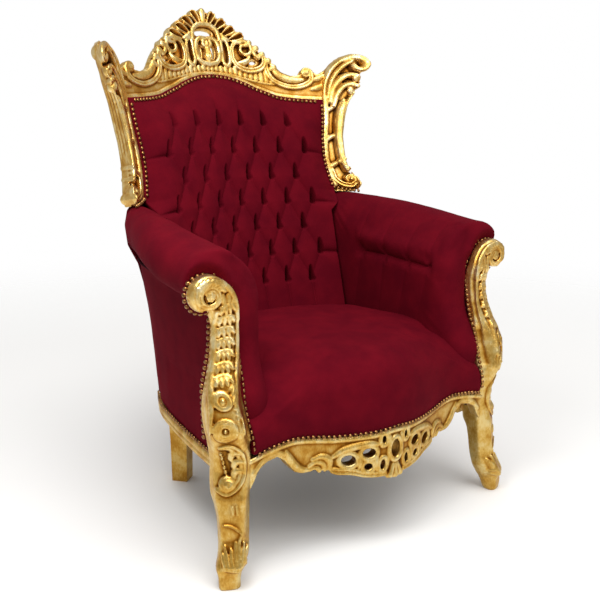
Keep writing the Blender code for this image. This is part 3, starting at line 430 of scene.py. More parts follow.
def mark_recesses(thing):
    """Store how deep each point lies in the carving, from -1 on a crest to 1 in a crevice."""
    place, normal = places_of(thing)
    mean = neighbours_mean(thing)
    smooth = place
    found = np.zeros(len(place))
    for passes, size, share in ((8, 0.001, 0.45), (30, 0.0035, 0.55), (90, 0.005, 0.6)):
        for _ in range(passes):
            smooth = 0.4 * smooth + 0.6 * mean(smooth)
        depth = ((smooth - place) * normal).sum(axis=1)
        found += share * np.tanh(depth / size)
    layer = thing.data.attributes.new("recess", "FLOAT", "POINT")
    layer.data.foreach_set("value", np.clip(found, -1, 1).astype(np.float32))


def finish_piece(thing, material, replaced=()):
    """Move a drawn piece onto the frame, give it its finish and hand it to the frame."""
    thing.data.transform(Matrix.Translation((0, -CENTRE_Y, 0)))
    thing.data.materials.clear()
    thing.data.materials.append(material)
    thing.data.shade_smooth()
    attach(thing, "root")
    if replaced:
        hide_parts(*replaced)
    return thing


def finish_pair(right, left_name, material, node):
    """Finish a right-hand piece and its left-hand twin, which replace two nodes of one name."""
    left = twin(right, left_name)
    finish_piece(right, material, [node + "_right"])
    finish_piece(left, material, [node + "_left"])


def carve(name, shapes, voxel, mirrored=False, polish=3, kept=None):
    """Fuse overlapping closed shapes into one carved piece with softened edges, as gesso leaves them.

    Where kept is given, only this share of the faces stays.
    """
    made = add_object(name, shapes)
    modify(made, "REMESH", mode="VOXEL", voxel_size=voxel)
    if mirrored:
        mirrored_half(made)
    modify(made, "SMOOTH", factor=0.5, iterations=polish)
    mark_recesses(made)
    if kept:
        modify(made, "DECIMATE", ratio=kept)
    return made


# Finishes

def linear(colour):
    """An sRGB hex colour as linear red, green, blue and alpha."""
    values = [int(colour[i:i + 2], 16) / 255 for i in (1, 3, 5)]
    return [v / 12.92 if v <= 0.04045 else ((v + 0.055) / 1.055) ** 2.4 for v in values] + [1.0]


def add_node(tree, kind, links=(), values=(), **settings):
    """Add a node, with its settings, the values of its sockets, and links from other nodes' sockets."""
    node = tree.nodes.new(kind)
    for name, value in settings.items():
        setattr(node, name, value)
    for socket, value in dict(values).items():
        node.inputs[socket].default_value = value
    for socket, source in dict(links).items():
        tree.links.new(source, node.inputs[socket])
    return node


def new_material(name):
    """A material with its node tree, its shader and the object coordinates."""
    made = bpy.data.materials.new(name)
    made.use_nodes = True
    tree = made.node_tree
    return made, tree, tree.nodes["Principled BSDF"], tree.nodes.new("ShaderNodeTexCoord").outputs["Object"]


def ramp(tree, source, stops):
    """A colour ramp from (position, hex colour) stops."""
    node = add_node(tree, "ShaderNodeValToRGB", {"Fac": source})
    elements = node.color_ramp.elements
    while len(elements) < len(stops):
        elements.new(0.5)
    for element, (position, colour) in zip(elements, stops):
        element.position = position
        element.color = linear(colour)
    return node.outputs["Color"]


def per(size_mm):
    """A texture's scale for a pattern of this size."""
    return 1.0 / (size_mm * MM)


def gold_leaf():
    """Gold leaf on gesso over beech, burnished on the heights and toned brown in the crevices."""
    made, tree, shader, place = new_material("gold_leaf_on_gesso")
    recess = add_node(tree, "ShaderNodeAttribute", attribute_name="recess").outputs["Fac"]
    tone = add_node(tree, "ShaderNodeTexNoise", {"Vector": place},
                    {"Scale": per(34), "Detail": 3.0, "Roughness": 0.6}).outputs["Fac"]
    grain = add_node(tree, "ShaderNodeTexNoise", {"Vector": place},
                     {"Scale": per(3.0), "Detail": 3.0, "Roughness": 0.6}).outputs["Fac"]
    # Brush and chisel marks run up and down
    drawn = add_node(tree, "ShaderNodeMapping", {"Vector": place},
                     {"Scale": (1.0, 1.0, 0.45)}).outputs["Vector"]
    streak = add_node(tree, "ShaderNodeTexNoise", {"Vector": drawn},
                      {"Scale": per(3.5), "Detail": 4.0, "Roughness": 0.6}).outputs["Fac"]
    mottle = add_node(tree, "ShaderNodeMix", {2: tone, 3: streak}, {0: 0.3}).outputs[0]
    # The leaf runs from olive to pale yellow in soft patches
    leaf = ramp(tree, mottle, [(0.38, "#d6a854"), (0.5, "#f2cf80"), (0.6, "#ffebb6")])
    depth = add_node(tree, "ShaderNodeMapRange", {"Value": recess},
                     {"From Min": -0.6, "From Max": 1.0}).outputs["Result"]
    toned = ramp(tree, depth, [(0.0, "#ffffff"), (0.36, "#fbefd2"), (0.58, "#c29c5c"), (0.84, "#58371a")])
    antique = add_node(tree, "ShaderNodeMix", {6: leaf, 7: toned}, {"Factor": 1.0},
                       data_type="RGBA", blend_type="MULTIPLY").outputs[2]
    # The leaf is painted darker and more olive towards the feet: painted shade, as the light from above
    # reaches the lower legs less
    height = add_node(tree, "ShaderNodeSeparateXYZ", {"Vector": place}).outputs["Z"]
    height_share = add_node(tree, "ShaderNodeMapRange", {"Value": height}, {"From Max": 0.6}).outputs["Result"]
    painted_floor_shade = ramp(tree, height_share, [(0.0, "#d4cdb4"), (0.6, "#e4dfcc"), (1.0, "#ffffff")])
    colour = add_node(tree, "ShaderNodeMix", {6: antique, 7: painted_floor_shade}, {"Factor": 1.0},
                      data_type="RGBA", blend_type="MULTIPLY").outputs[2]
    tree.links.new(colour, shader.inputs["Base Color"])
    # Crevices and worn spots are duller than the burnished heights
    worn = add_node(tree, "ShaderNodeMath", {0: grain, 1: recess}, operation="ADD").outputs["Value"]
    rough = add_node(tree, "ShaderNodeMapRange", {"Value": worn},
                     {"From Min": -0.1, "From Max": 1.2, "To Min": 0.3, "To Max": 0.6}).outputs["Result"]
    tree.links.new(rough, shader.inputs["Roughness"])
    marks = add_node(tree, "ShaderNodeMath", {0: grain, 1: streak}, operation="ADD").outputs["Value"]
    bump = add_node(tree, "ShaderNodeBump", {"Height": marks}, {"Strength": 0.7, "Distance": 0.6 * MM})
    tree.links.new(bump.outputs["Normal"], shader.inputs["Normal"])
    shader.inputs["Metallic"].default_value = 1.0
    return made


def cotton_velvet(name="burgundy_cotton_velvet", pile="#540413", light="#620716"):
    """Short-pile cotton velvet: dark where seen square on, with a soft sheen towards its edges."""
    made, tree, shader, place = new_material(name)
    nap = add_node(tree, "ShaderNodeTexNoise", {"Vector": place},
                   {"Scale": per(60), "Detail": 3.0, "Roughness": 0.55}).outputs["Fac"]
    colour = ramp(tree, nap, [(0.35, pile), (0.7, light)])
    tree.links.new(colour, shader.inputs["Base Color"])
    # The pile's tufts are 0.3 mm apart, drawn at 0.8 mm so that they show
    tufts = add_node(tree, "ShaderNodeTexNoise", {"Vector": place},
                     {"Scale": per(0.8), "Detail": 1.0}).outputs["Fac"]
    bump = add_node(tree, "ShaderNodeBump", {"Height": tufts}, {"Strength": 0.3, "Distance": 0.3 * MM})
    tree.links.new(bump.outputs["Normal"], shader.inputs["Normal"])
    shader.inputs["Roughness"].default_value = 0.9
    shader.inputs["Specular IOR Level"].default_value = 0.05
    shader.inputs["Sheen Weight"].default_value = 0.1
    shader.inputs["Sheen Roughness"].default_value = 0.4
    shader.inputs["Sheen Tint"].default_value = linear("#c8103a")
    return made


def antique_brass():
    """Stamped brass nail heads, toned dark."""
    made, tree, shader, place = new_material("antique_brass")
    tarnish = add_node(tree, "ShaderNodeTexNoise", {"Vector": place},
                       {"Scale": per(6), "Detail": 2.0}).outputs["Fac"]
    colour = ramp(tree, tarnish, [(0.35, "#6e4a2a"), (0.65, "#ad7f4c")])
    tree.links.new(colour, shader.inputs["Base Color"])
    shader.inputs["Metallic"].default_value = 1.0
    shader.inputs["Roughness"].default_value = 0.28
    return made


def black_cambric():
    """The thin dust cover under the seat: dull, dark and plainly woven."""
    made, tree, shader, place = new_material("black_cambric")
    weave = add_node(tree, "ShaderNodeTexNoise", {"Vector": place},
                     {"Scale": per(1.2), "Detail": 1.0}).outputs["Fac"]
    tree.links.new(ramp(tree, weave, [(0.35, "#141213"), (0.65, "#242122")]), shader.inputs["Base Color"])
    shader.inputs["Roughness"].default_value = 0.95
    return made


GOLD = gold_leaf()
CAMBRIC = black_cambric()
VELVET = cotton_velvet()
# The cord's velvet is made near black: painted shadow for the tuck under the arm's roll, on a cord of the
# seat's burgundy cloth
CORD_IN_PAINTED_SHADOW = cotton_velvet("cord_velvet_painted_shadow", "#1e0209", "#2a030d")
BRASS = antique_brass()


# The crest: outlines and holes as (x, z) on the barrel, right half

CREST_TOP = [(0.0, 1.251), (0.008, 1.249), (0.014, 1.244), (0.02, 1.246), (0.027, 1.243), (0.034, 1.236),
             (0.047, 1.235), (0.057, 1.23), (0.064, 1.222), (0.078, 1.217), (0.09, 1.209), (0.096, 1.2),
             (0.108, 1.196), (0.117, 1.188), (0.122, 1.176), (0.138, 1.164), (0.152, 1.157), (0.158, 1.142),
             (0.17, 1.132), (0.18, 1.12), (0.187, 1.11), (0.196, 1.096), (0.204, 1.084), (0.232, 1.073),
             (0.253, 1.076), (0.262, 1.091), (0.276, 1.095), (0.29, 1.088), (0.3, 1.079), (0.316, 1.08)]
VELVET_TOP = [(0.0, 1.065), (0.04, 1.062), (0.07, 1.054), (0.1, 1.043), (0.125, 1.031),
              (0.15, 1.022), (0.18, 1.01), (0.206, 1.005), (0.246, 1.001), (0.303, 0.998)]
VELVET_SIDE = [(0.297, 0.946), (0.289, 0.889), (0.286, 0.835), (0.291, 0.79), (0.296, 0.765)]
# Openings right through the crest; everything else between its ridges is a deep pocket
CREST_HOLES = [(0.0, 1.184, 0.027, 0.0105, 0), (0.021, 1.134, 0.0055, 0.019, -4),
               (0.135, 1.109, 0.01, 0.0055, 15), (0.083, 1.178, 0.003, 0.006, -50)]
# Each ridge as (form, rise, points)
CREST_RIDGES = [
    # The palmette
    ("round", 0.7, [(0.0, 1.206, 0.005), (0.0, 1.223, 0.0085), (0.0, 1.239, 0.01)]),
    # The shell's flutes, each a hollow petal
    ("petal", 0.62, [(0.015, 1.21, 0.0065), (0.023, 1.223, 0.011), (0.029, 1.231, 0.012)]),
    ("petal", 0.62, [(0.036, 1.197, 0.007), (0.047, 1.207, 0.0118), (0.056, 1.213, 0.0132)]),
    ("petal", 0.62, [(0.056, 1.18, 0.007), (0.069, 1.188, 0.0118), (0.08, 1.194, 0.0132)]),
    ("petal", 0.62, [(0.078, 1.168, 0.0065), (0.092, 1.173, 0.0105), (0.105, 1.178, 0.0122)]),
    # The arch over the opening, the oval ring with its petal, and the flower
    ("round", 0.75, [(0.043, 1.166, 0.006), (0.037, 1.19, 0.0065), (0.019, 1.204, 0.0065),
                     (-0.004, 1.207, 0.0065)]),
    ("round", 0.8, [(-0.004, 1.167, 0.0055), (0.02, 1.168, 0.006), (0.033, 1.154, 0.0065),
                    (0.036, 1.127, 0.0065), (0.026, 1.105, 0.007), (-0.004, 1.097, 0.0075)]),
    ("leaf", 0.9, [(0.0, 1.104, 0.006), (0.0, 1.12, 0.0125), (0.0, 1.138, 0.009)]),
    ("round", 0.9, [(0.01, 1.161, 0.0055), (0.012, 1.152, 0.006), (0.005, 1.144, 0.0055)]),
    ("round", 1.2, [(0.0, 1.151, 0.006), (0.0, 1.156, 0.006)]),
    # The tall narrow loop beside the ring
    ("round", 0.85, [(0.046, 1.16, 0.0045), (0.045, 1.135, 0.0045), (0.044, 1.11, 0.005),
                     (0.05, 1.097, 0.006), (0.059, 1.097, 0.006), (0.065, 1.11, 0.005),
                     (0.066, 1.14, 0.0045), (0.062, 1.16, 0.005), (0.052, 1.168, 0.0055)]),
    ("round", 0.9, [(0.05, 1.18, 0.005), (0.057, 1.172, 0.0065), (0.068, 1.166, 0.0055)]),
    # The large side scroll winds in to its eye
    ("groove", 0.75, [(0.162, 1.13, 0.006), (0.165, 1.11, 0.0075), (0.153, 1.092, 0.0085),
                      (0.13, 1.084, 0.009), (0.105, 1.086, 0.009), (0.084, 1.097, 0.008),
                      (0.075, 1.118, 0.0065), (0.077, 1.146, 0.006), (0.09, 1.163, 0.006)]),
    ("round", 0.9, [(0.084, 1.163, 0.005)] + volute(0.114, 1.143, 0.0225, 130, -1.1, 0.0062, 0.45)),
    ("leaf", 0.9, [(0.09, 1.104, 0.005), (0.104, 1.105, 0.009), (0.117, 1.111, 0.008),
                   (0.125, 1.121, 0.004)]),
    ("round", 0.9, [(0.15, 1.118, 0.005), (0.142, 1.126, 0.006), (0.137, 1.137, 0.005)]),
    # The long scroll at the crest's end, its small volute and the leaf inside it
    ("groove", 0.7, [(0.169, 1.112, 0.005), (0.168, 1.086, 0.007), (0.178, 1.063, 0.0075),
                     (0.2, 1.047, 0.0075), (0.23, 1.039, 0.0075), (0.26, 1.043, 0.0075),
                     (0.282, 1.057, 0.0075)] + volute(0.273, 1.078, 0.0135, -20, 0.95, 0.0068)),
    ("leaf", 0.55, [(0.184, 1.099, 0.006), (0.194, 1.079, 0.01), (0.214, 1.064, 0.011),
                    (0.24, 1.058, 0.009), (0.262, 1.06, 0.004)]),
    ("round", 0.9, [(0.269, 1.079, 0.007), (0.276, 1.081, 0.007)]),
    # Leaf tips that run out to the upright
    ("leaf", 0.6, [(0.288, 1.06, 0.005), (0.302, 1.064, 0.007), (0.316, 1.072, 0.005)]),
    ("leaf", 0.6, [(0.282, 1.034, 0.005), (0.298, 1.038, 0.008), (0.312, 1.046, 0.005)]),
]
# Where the crest's ground stands high between the ridges
CREST_GROUND = [(0.17, 1.098), (0.196, 1.094), (0.206, 1.082), (0.232, 1.071), (0.255, 1.074),
                (0.27, 1.088), (0.29, 1.084), (0.3, 1.077), (0.314, 1.077), (0.314, 1.0), (0.206, 1.003),
                (0.165, 1.03)]
# The stepped leaf down the shoulder
SHOULDER = ((0.132, 1.164), (0.15, 1.15), (0.165, 1.133), (0.18, 1.116), (0.192, 1.098))
# The short lobes between the scrolls and the wavy groove: (x, top, bottom)
GADROONS = [(0.0, 1.092, 1.079), (0.013, 1.091, 1.079), (0.028, 1.09, 1.077), (0.042, 1.088, 1.075),
            (0.056, 1.087, 1.072), (0.07, 1.09, 1.07), (0.084, 1.086, 1.066), (0.098, 1.08, 1.063),
            (0.113, 1.077, 1.059), (0.128, 1.076, 1.055), (0.143, 1.078, 1.051), (0.157, 1.084, 1.049),
            (0.17, 1.068, 1.047)]


def crest_shapes():
    """The plate of the crest and everything carved on its right half."""
    low_edge = [(x, z - 0.003) for x, z in VELVET_TOP]
    outline = [(-0.008, 1.249)] + [(x - 0.002, z - 0.002) for x, z in CREST_TOP] + low_edge[::-1]
    outline.append((-0.008, low_edge[0][1]))
    belt = [(-0.008, 1.093)] + [(x, z + 0.03) for x, z in VELVET_TOP[:8]] + low_edge[7::-1]
    belt.append((-0.008, low_edge[0][1]))
    high, deep, root = -0.006, -0.016, -0.022
    shapes = [slab(on_back, outline, [oval(*hole) for hole in CREST_HOLES], -FRAME_THICKNESS + 0.006, deep),
              slab(on_back, CREST_GROUND, [], -0.026, high), slab(on_back, belt, [], -0.026, high)]
    for form, rise, points in CREST_RIDGES:
        shapes.append(ridge(on_back, points, form, rise, high + 0.001, root=root))
    for u, v in SHOULDER:
        shapes.append(ridge(on_back, [(u - 0.016, v - 0.011, 0.0055), (u - 0.006, v - 0.006, 0.0085),
                                      (u - 0.003, v - 0.004, 0.0085)],
                            "round", 0.7, high + 0.001, root=root))
    for (x, top, bottom), (further, *_) in zip(GADROONS, GADROONS[1:] + [(0.184, 0, 0)]):
        lean = 0.1 * x
        half = 0.53 * (further - x)
        middle = (x + further) / 2
        shapes.append(ridge(on_back, [(middle - lean * 0.1, top, half * 0.85),
                                      (middle, bottom + half, half)], "round", 0.45, high, root=root))
    # The plain moulding that borders the velvet, below a thin wavy bead
    bead = [(-0.006, 1.077, 0.0018), (0.045, 1.074, 0.0018), (0.09, 1.065, 0.0018), (0.13, 1.054, 0.0018),
            (0.17, 1.047, 0.0018), (0.19, 1.046, 0.0016)]
    shapes.append(ridge(on_back, bead, "round", 1.0, high + 0.001, steps=5, root=root))
    border = [(x, z + 0.0065, 0.0078) for x, z in [(-0.006, 1.065)] + VELVET_TOP]
    shapes.append(ridge(on_back, border, "round", 0.42, high + 0.0005, steps=3, root=root))
    return shapes


# The uprights

STILE_OUTER = [(0.347, 0.752), (0.353, 0.768), (0.351, 0.785), (0.34, 0.807), (0.334, 0.831),
               (0.332, 0.862), (0.333, 0.903), (0.344, 0.96), (0.354, 0.995), (0.361, 1.008),
               (0.371, 1.024), (0.382, 1.043), (0.388, 1.065), (0.401, 1.085), (0.409, 1.107),
               (0.403, 1.126), (0.386, 1.136), (0.37, 1.131), (0.352, 1.115), (0.328, 1.093)]


def beside_stile(depth, z, height):
    """A point on the outer side of an upright, at a depth behind its front and a height off its side."""
    outer = follow(sorted((v, u) for u, v in STILE_OUTER[:15]), z)
    return on_stile(outer + height, z, -depth)


def stile_shapes():
    """The right-hand upright and everything carved on it."""
    inner = [(x - 0.003, z) for x, z in reversed(VELVET_SIDE)]
    outline = [(0.291, STILE_BASE_Z), (0.347, STILE_BASE_Z)] + STILE_OUTER
    outline += [(0.309, 1.082), (0.296, 1.075), (0.296, 0.998)] + inner[::-1]
    shapes = [slab(on_stile, outline, [], -FRAME_THICKNESS, -0.017)]
    low = -0.006
    root = -0.024

    def add(form, rise, points, lift=low):
        shapes.append(ridge(on_stile, points, form, rise, lift, root=root))

    # The strip beside the nails and the broad half-round outside it, with pockets between them
    add("round", 0.7, [(x + 0.0065, z, 0.007) for x, z in [(0.303, 1.012)] + VELVET_SIDE])
    add("round", 0.8, [(0.332, 0.806, 0.006), (0.3255, 0.832, 0.008), (0.3245, 0.861, 0.0088),
                       (0.3255, 0.905, 0.0088), (0.3345, 0.96, 0.0088), (0.345, 0.995, 0.007)])
    for x, z, half in ((0.309, 0.899, 0.006), (0.313, 0.976, 0.006), (0.307, 0.822, 0.0065)):
        add("leaf", 0.7, [(x - 0.01, z - 0.01, half * 0.6), (x, z, half),
                          (x + 0.012, z + 0.008, half * 0.7)])
    add("round", 0.9, [(0.318, 0.828, 0.006), (0.321, 0.834, 0.006)])
    # The leaf lobes of the horn, each ending in a rolled tip
    add("groove", 0.7, [(0.311, 1.01, 0.007), (0.318, 1.046, 0.01), (0.332, 1.08, 0.0125),
                        (0.35, 1.103, 0.013), (0.366, 1.114, 0.0115)])
    add("round", 0.8, [(0.356, 1.114, 0.009), (0.374, 1.122, 0.0095), (0.391, 1.118, 0.0095),
                       (0.4, 1.104, 0.009), (0.394, 1.09, 0.008), (0.382, 1.09, 0.0072),
                       (0.377, 1.099, 0.006)])
    add("round", 0.8, [(0.318, 0.998, 0.006), (0.328, 1.034, 0.0075), (0.345, 1.061, 0.008),
                       (0.362, 1.073, 0.008), (0.377, 1.07, 0.0085)])
    add("round", 0.9, [(0.324, 0.986, 0.006), (0.334, 1.018, 0.007), (0.348, 1.04, 0.0075),
                       (0.362, 1.047, 0.008), (0.374, 1.042, 0.0085)])
    for x, z, size, out in ((0.38, 1.064, 0.012, -0.001), (0.366, 1.028, 0.013, -0.001),
                            (0.35, 0.999, 0.0095, -0.002)):
        shapes.append(lump(on_stile(x, z, out - 0.008), (size, size * 0.85, size * 1.15)))
    # The rounded top of the horn runs from its front to its rear
    for share in (0.0, 0.25, 0.5, 0.75, 1.0):
        shapes.append(lump(on_stile(0.39, 1.11, -0.017 - 0.011 * share), (0.0165, 0.011, 0.0195)))
    # The scroll at the foot of the upright, with its pale eye
    add("groove", 0.9, [(0.301, 0.806, 0.0055), (0.304, 0.784, 0.0068), (0.316, 0.768, 0.0078),
                        (0.334, 0.763, 0.0078)] + volute(0.336, 0.781, 0.013, -70, 1.0, 0.0062))
    shapes.append(lump(on_stile(0.337, 0.781, -0.002), (0.006, 0.006, 0.006)))
    # Flutes down the outer side, two bands over them, a pointed leaf, and turned rings below
    for depth in (0.007, 0.015, 0.023, 0.031):
        shapes.append(ridge(beside_stile, [(depth, 0.862, 0.0028), (depth, 0.89, 0.004),
                                           (depth, 0.99, 0.004), (depth, 1.024, 0.003)],
                            "round", 0.9, -0.0014))
    for z, half in ((0.852, 0.0028), (0.839, 0.0062), (0.826, 0.0028), (0.812, 0.006), (1.034, 0.0026),
                    (1.052, 0.0028)):
        shapes.append(ridge(beside_stile, [(0.006, z, half), (0.018, z, half), (0.033, z, half)],
                            "round", 0.42, -0.0014))
    for depth, top in ((0.011, 1.07), (0.02, 1.082), (0.029, 1.072)):
        shapes.append(ridge(beside_stile, [(depth, 1.057, 0.0042), (depth, 1.064, 0.005),
                                           (depth, top, 0.002)], "leaf", 0.6, -0.0014))
    for depth in (0.008, 0.0155, 0.023, 0.0305):
        shapes.append(ridge(beside_stile, [(depth, 0.8, 0.0028), (depth, 0.792, 0.0028)],
                            "round", 0.35, -0.001))
    shapes.append(ridge(beside_stile, [(0.008, 0.766, 0.015), (0.03, 0.766, 0.015)], "round", 0.25, -0.001))
    return shapes


# The front leg and arm post: (height, centre x, half width), and its front and back faces

LEG_PATH = [(0.0, 0.405, 0.0195), (0.028, 0.405, 0.0205), (0.048, 0.4, 0.0265), (0.07, 0.388, 0.028),
            (0.1, 0.38, 0.0272), (0.14, 0.378, 0.0285), (0.18, 0.378, 0.0315), (0.22, 0.377, 0.0345),
            (0.26, 0.376, 0.0345), (0.3, 0.38, 0.0345), (0.34, 0.388, 0.0345), (0.38, 0.393, 0.032),
            (0.42, 0.39, 0.0285), (0.46, 0.382, 0.026), (0.5, 0.376, 0.025), (0.55, 0.373, 0.0245)]
LEG_FRONT_Y = [(0.0, -0.3725), (0.028, -0.3735), (0.048, -0.374), (0.07, -0.368), (0.1, -0.36),
               (0.14, -0.357), (0.18, -0.3565), (0.22, -0.356), (0.26, -0.357), (0.3, -0.36),
               (0.34, -0.363), (0.38, -0.355), (0.42, -0.341), (0.46, -0.328), (0.5, -0.32), (0.55, -0.317),
               (0.6, -0.318), (0.65, -0.317)]
LEG_BACK_Y = [(0.0, -0.34), (0.028, -0.339), (0.048, -0.332), (0.07, -0.322),
              (0.1, -0.308), (0.14, -0.304), (0.17, -0.298), (0.19, -0.284), (0.65, -0.2815)]
# Where the leg's front starts to turn outwards, and how steeply
LEG_AXIS = [(0.0, 0.398), (0.05, 0.392), (0.1, 0.372), (0.2, 0.366), (0.3, 0.37), (0.4, 0.382),
            (0.46, 0.372), (0.55, 0.364), (0.65, 0.42)]
LEG_TURN = [(0.0, 0.5), (0.05, 0.7), (0.4, 0.75), (0.47, 0.5), (0.57, 0.4), (0.6, 0.0)]
# Where the knee's front falls away towards the seat
KNEE_CUT = [(0.3, 0.34), (0.325, 0.354), (0.35, 0.366), (0.375, 0.37), (0.4, 0.372), (0.43, 0.366),
            (0.455, 0.35)]
KNEE_CUT_SLOPE = 0.9
# How far the knee, calf and foot stand out at the corner, and the heel behind them, by height
CORNER_SWELL = [(0.0, 0.003), (0.022, 0.008), (0.045, 0.013), (0.073, 0.012), (0.1, 0.014), (0.125, 0.017),
                (0.16, 0.017), (0.19, 0.015), (0.215, 0.009), (0.245, 0.001), (0.285, 0.001),
                (0.305, 0.008), (0.33, 0.017), (0.36, 0.02), (0.4, 0.02), (0.43, 0.018), (0.455, 0.011),
                (0.485, 0.005), (0.52, 0.0)]
HEEL_SWELL = [(0.0, 0.003), (0.012, 0.009), (0.028, 0.014), (0.045, 0.014), (0.06, 0.01), (0.078, 0.005),
              (0.1, 0.0)]
SWELL_WAY = np.array([0.6, -0.8, 0.0])
VOLUTE_CENTRE = (0.415, 0.613)
VOLUTE_RADIUS = 0.036


def leg_ring(x, z, half, back, tilt=0.0, front=None, count=36):
    """A rounded square section of the leg, tilted with its path in the x-z plane."""
    ring = []
    for i in range(count):
        a = 2 * math.pi * (i + 0.5) / count
        across = math.copysign(abs(math.cos(a)) ** 0.5, math.cos(a)) * half
        deep = math.copysign(abs(math.sin(a)) ** 0.5, math.sin(a))
        face = front if front is not None else post_front_y(x + across, z) + 0.003
        y = face + (deep + 1) / 2 * (back - face)
        ring.append((x + across * math.cos(tilt), y, z + across * math.sin(tilt)))
    return ring


def leg_shapes():
    """The right-hand leg with its arm post, carved on the front."""
    rings = []
    for z, x, half in curve_through(LEG_PATH, 6):
        rings.append(leg_ring(x + 0.0015, z, half + 0.0015, follow(LEG_BACK_Y, z)))
    u, v = VOLUTE_CENTRE
    band = 0.019
    for share in np.linspace(0, 1, 21):
        angle = math.radians(172 - 235 * share)
        r = VOLUTE_RADIUS - band + 0.006 * (1 - share)
        half = band + 0.004 * (1 - share)
        x, z = u + r * math.cos(angle), v + r * math.sin(angle)
        rings.append(leg_ring(x, z, half, POST_BACK_Y - 0.001, angle - math.pi, -0.315))
    shapes = [loft(rings)]

    def add(form, rise, points, lift=-0.002, root=-0.014):
        shapes.append(ridge(on_post, points, form, rise, lift, root=root))

    def bump(x, z, sizes, lift=0.0):
        shapes.append(lump(on_post(x, z, lift), sizes))

    # The volute: a rolled rim, acanthus lobes over its top, and a rosette for its eye
    add("round", 0.5, [(0.3525, 0.56, 0.005), (0.356, 0.59, 0.006), (0.367, 0.618, 0.0065),
                       (0.388, 0.637, 0.0065), (0.412, 0.643, 0.006), (0.436, 0.631, 0.0055)], 0.0)
    for turn in range(16, 160, 16):
        a = math.radians(turn)
        add("leaf", 0.7, [(u + 0.022 * math.cos(a), v + 0.022 * math.sin(a), 0.0032),
                          (u + 0.029 * math.cos(a + 0.15), v + 0.029 * math.sin(a + 0.15), 0.0052),
                          (u + 0.034 * math.cos(a + 0.36), v + 0.034 * math.sin(a + 0.36), 0.004)], 0.001)
    add("groove", 0.55, volute(u, v, 0.0265, 62, -1.05, 0.0085, 0.52, 16), 0.0)
    for petal in range(7):
        a = 2 * math.pi * petal / 7
        bump(u + 0.0068 * math.cos(a), v + 0.0068 * math.sin(a), (0.0042, 0.0042, 0.0042), 0.0)
    bump(u, v, (0.004, 0.0056, 0.004), 0.0)
    # A leaf fills the bend between the scroll and the husks
    for x, x_tip, z_tip in ((0.368, 0.362, 0.6), (0.375, 0.374, 0.612), (0.382, 0.388, 0.612)):
        add("leaf", 0.5, [(x, 0.586, 0.0045), (0.5 * (x + x_tip), 0.6, 0.0068),
                          (x_tip, z_tip, 0.0055)], 0.0)
    # Smooth edges run down the post, with stacked husks between them, each of four leaning lobes
    for side in (-1, 1):
        add("round", 0.7, [(0.375 + side * 0.022, 0.578, 0.0042), (0.377 + side * 0.0225, 0.53, 0.0045),
                           (0.38 + side * 0.0225, 0.49, 0.0048), (0.39 + side * 0.0235, 0.435, 0.005),
                           (0.394 + side * 0.0265, 0.385, 0.004), (0.396 + side * 0.03, 0.335, 0.0012)])
    add("round", 0.8, [(0.396, 0.648, 0.003), (0.374, 0.634, 0.004), (0.357, 0.608, 0.004),
                       (0.35, 0.575, 0.004), (0.3495, 0.52, 0.004), (0.3545, 0.46, 0.0042),
                       (0.356, 0.4, 0.0046), (0.357, 0.36, 0.0038), (0.358, 0.33, 0.0016)], -0.012, -0.03)
    # A cove joins the inner edge to the front
    add("round", 0.3, [(0.357, 0.5, 0.006), (0.36, 0.45, 0.0085), (0.361, 0.4, 0.01),
                       (0.358, 0.35, 0.01), (0.356, 0.31, 0.008)], -0.01, -0.03)
    middle = [(0.42, 0.397), (0.46, 0.389), (0.5, 0.382), (0.57, 0.377), (0.6, 0.376)]
    add("round", 0.16, [(follow(middle, z), z, 0.0195) for z in (0.598, 0.56, 0.52, 0.48, 0.44)], -0.003)
    for row in range(7):
        z = 0.586 - 0.0232 * row
        x = follow(middle, z)
        for lobe in (-1.5, -0.5, 0.5, 1.5):
            add("leaf", 1.0, [(x + lobe * 0.0062 + 0.001, z + 0.0085 - 0.0012 * lobe, 0.0022),
                              (x + lobe * 0.0084, z - 0.001 - 0.0016 * lobe, 0.0044),
                              (x + lobe * 0.01 - 0.001, z - 0.01 - 0.002 * lobe + 0.0012 * lobe ** 2,
                               0.0034)], 0.001)
        add("round", 0.8, [(x - 0.015, z + 0.006, 0.0018), (x, z + 0.0078, 0.003),
                           (x + 0.015, z + 0.003, 0.0018)], 0.002)
    # The oval boss in its ring, with fine leaves that run from it to the post's inner edge
    shapes.append(rim(on_post, 0.4, 0.407, 0.011, 0.0145, 0, 0.0058, "round", 0.75, 0.0))
    bump(0.4, 0.405, (0.0055, 0.007, 0.008))
    for step in range(6):
        add("leaf", 0.6, [(0.387 - 0.002 * step, 0.424 - 0.011 * step, 0.0026),
                          (0.378 - 0.001 * step, 0.436 - 0.011 * step, 0.0042),
                          (0.371, 0.452 - 0.011 * step, 0.0024)])
    # The knee's low spiral, cut finely
    for size in (1.0, 0.72, 0.44):
        shapes.append(rim(on_post, 0.401, 0.345, 0.019 * size, 0.024 * size, 8, 0.0021,
                          "round", 0.5, -0.0005))
    bump(0.401, 0.345, (0.003, 0.0026, 0.004))
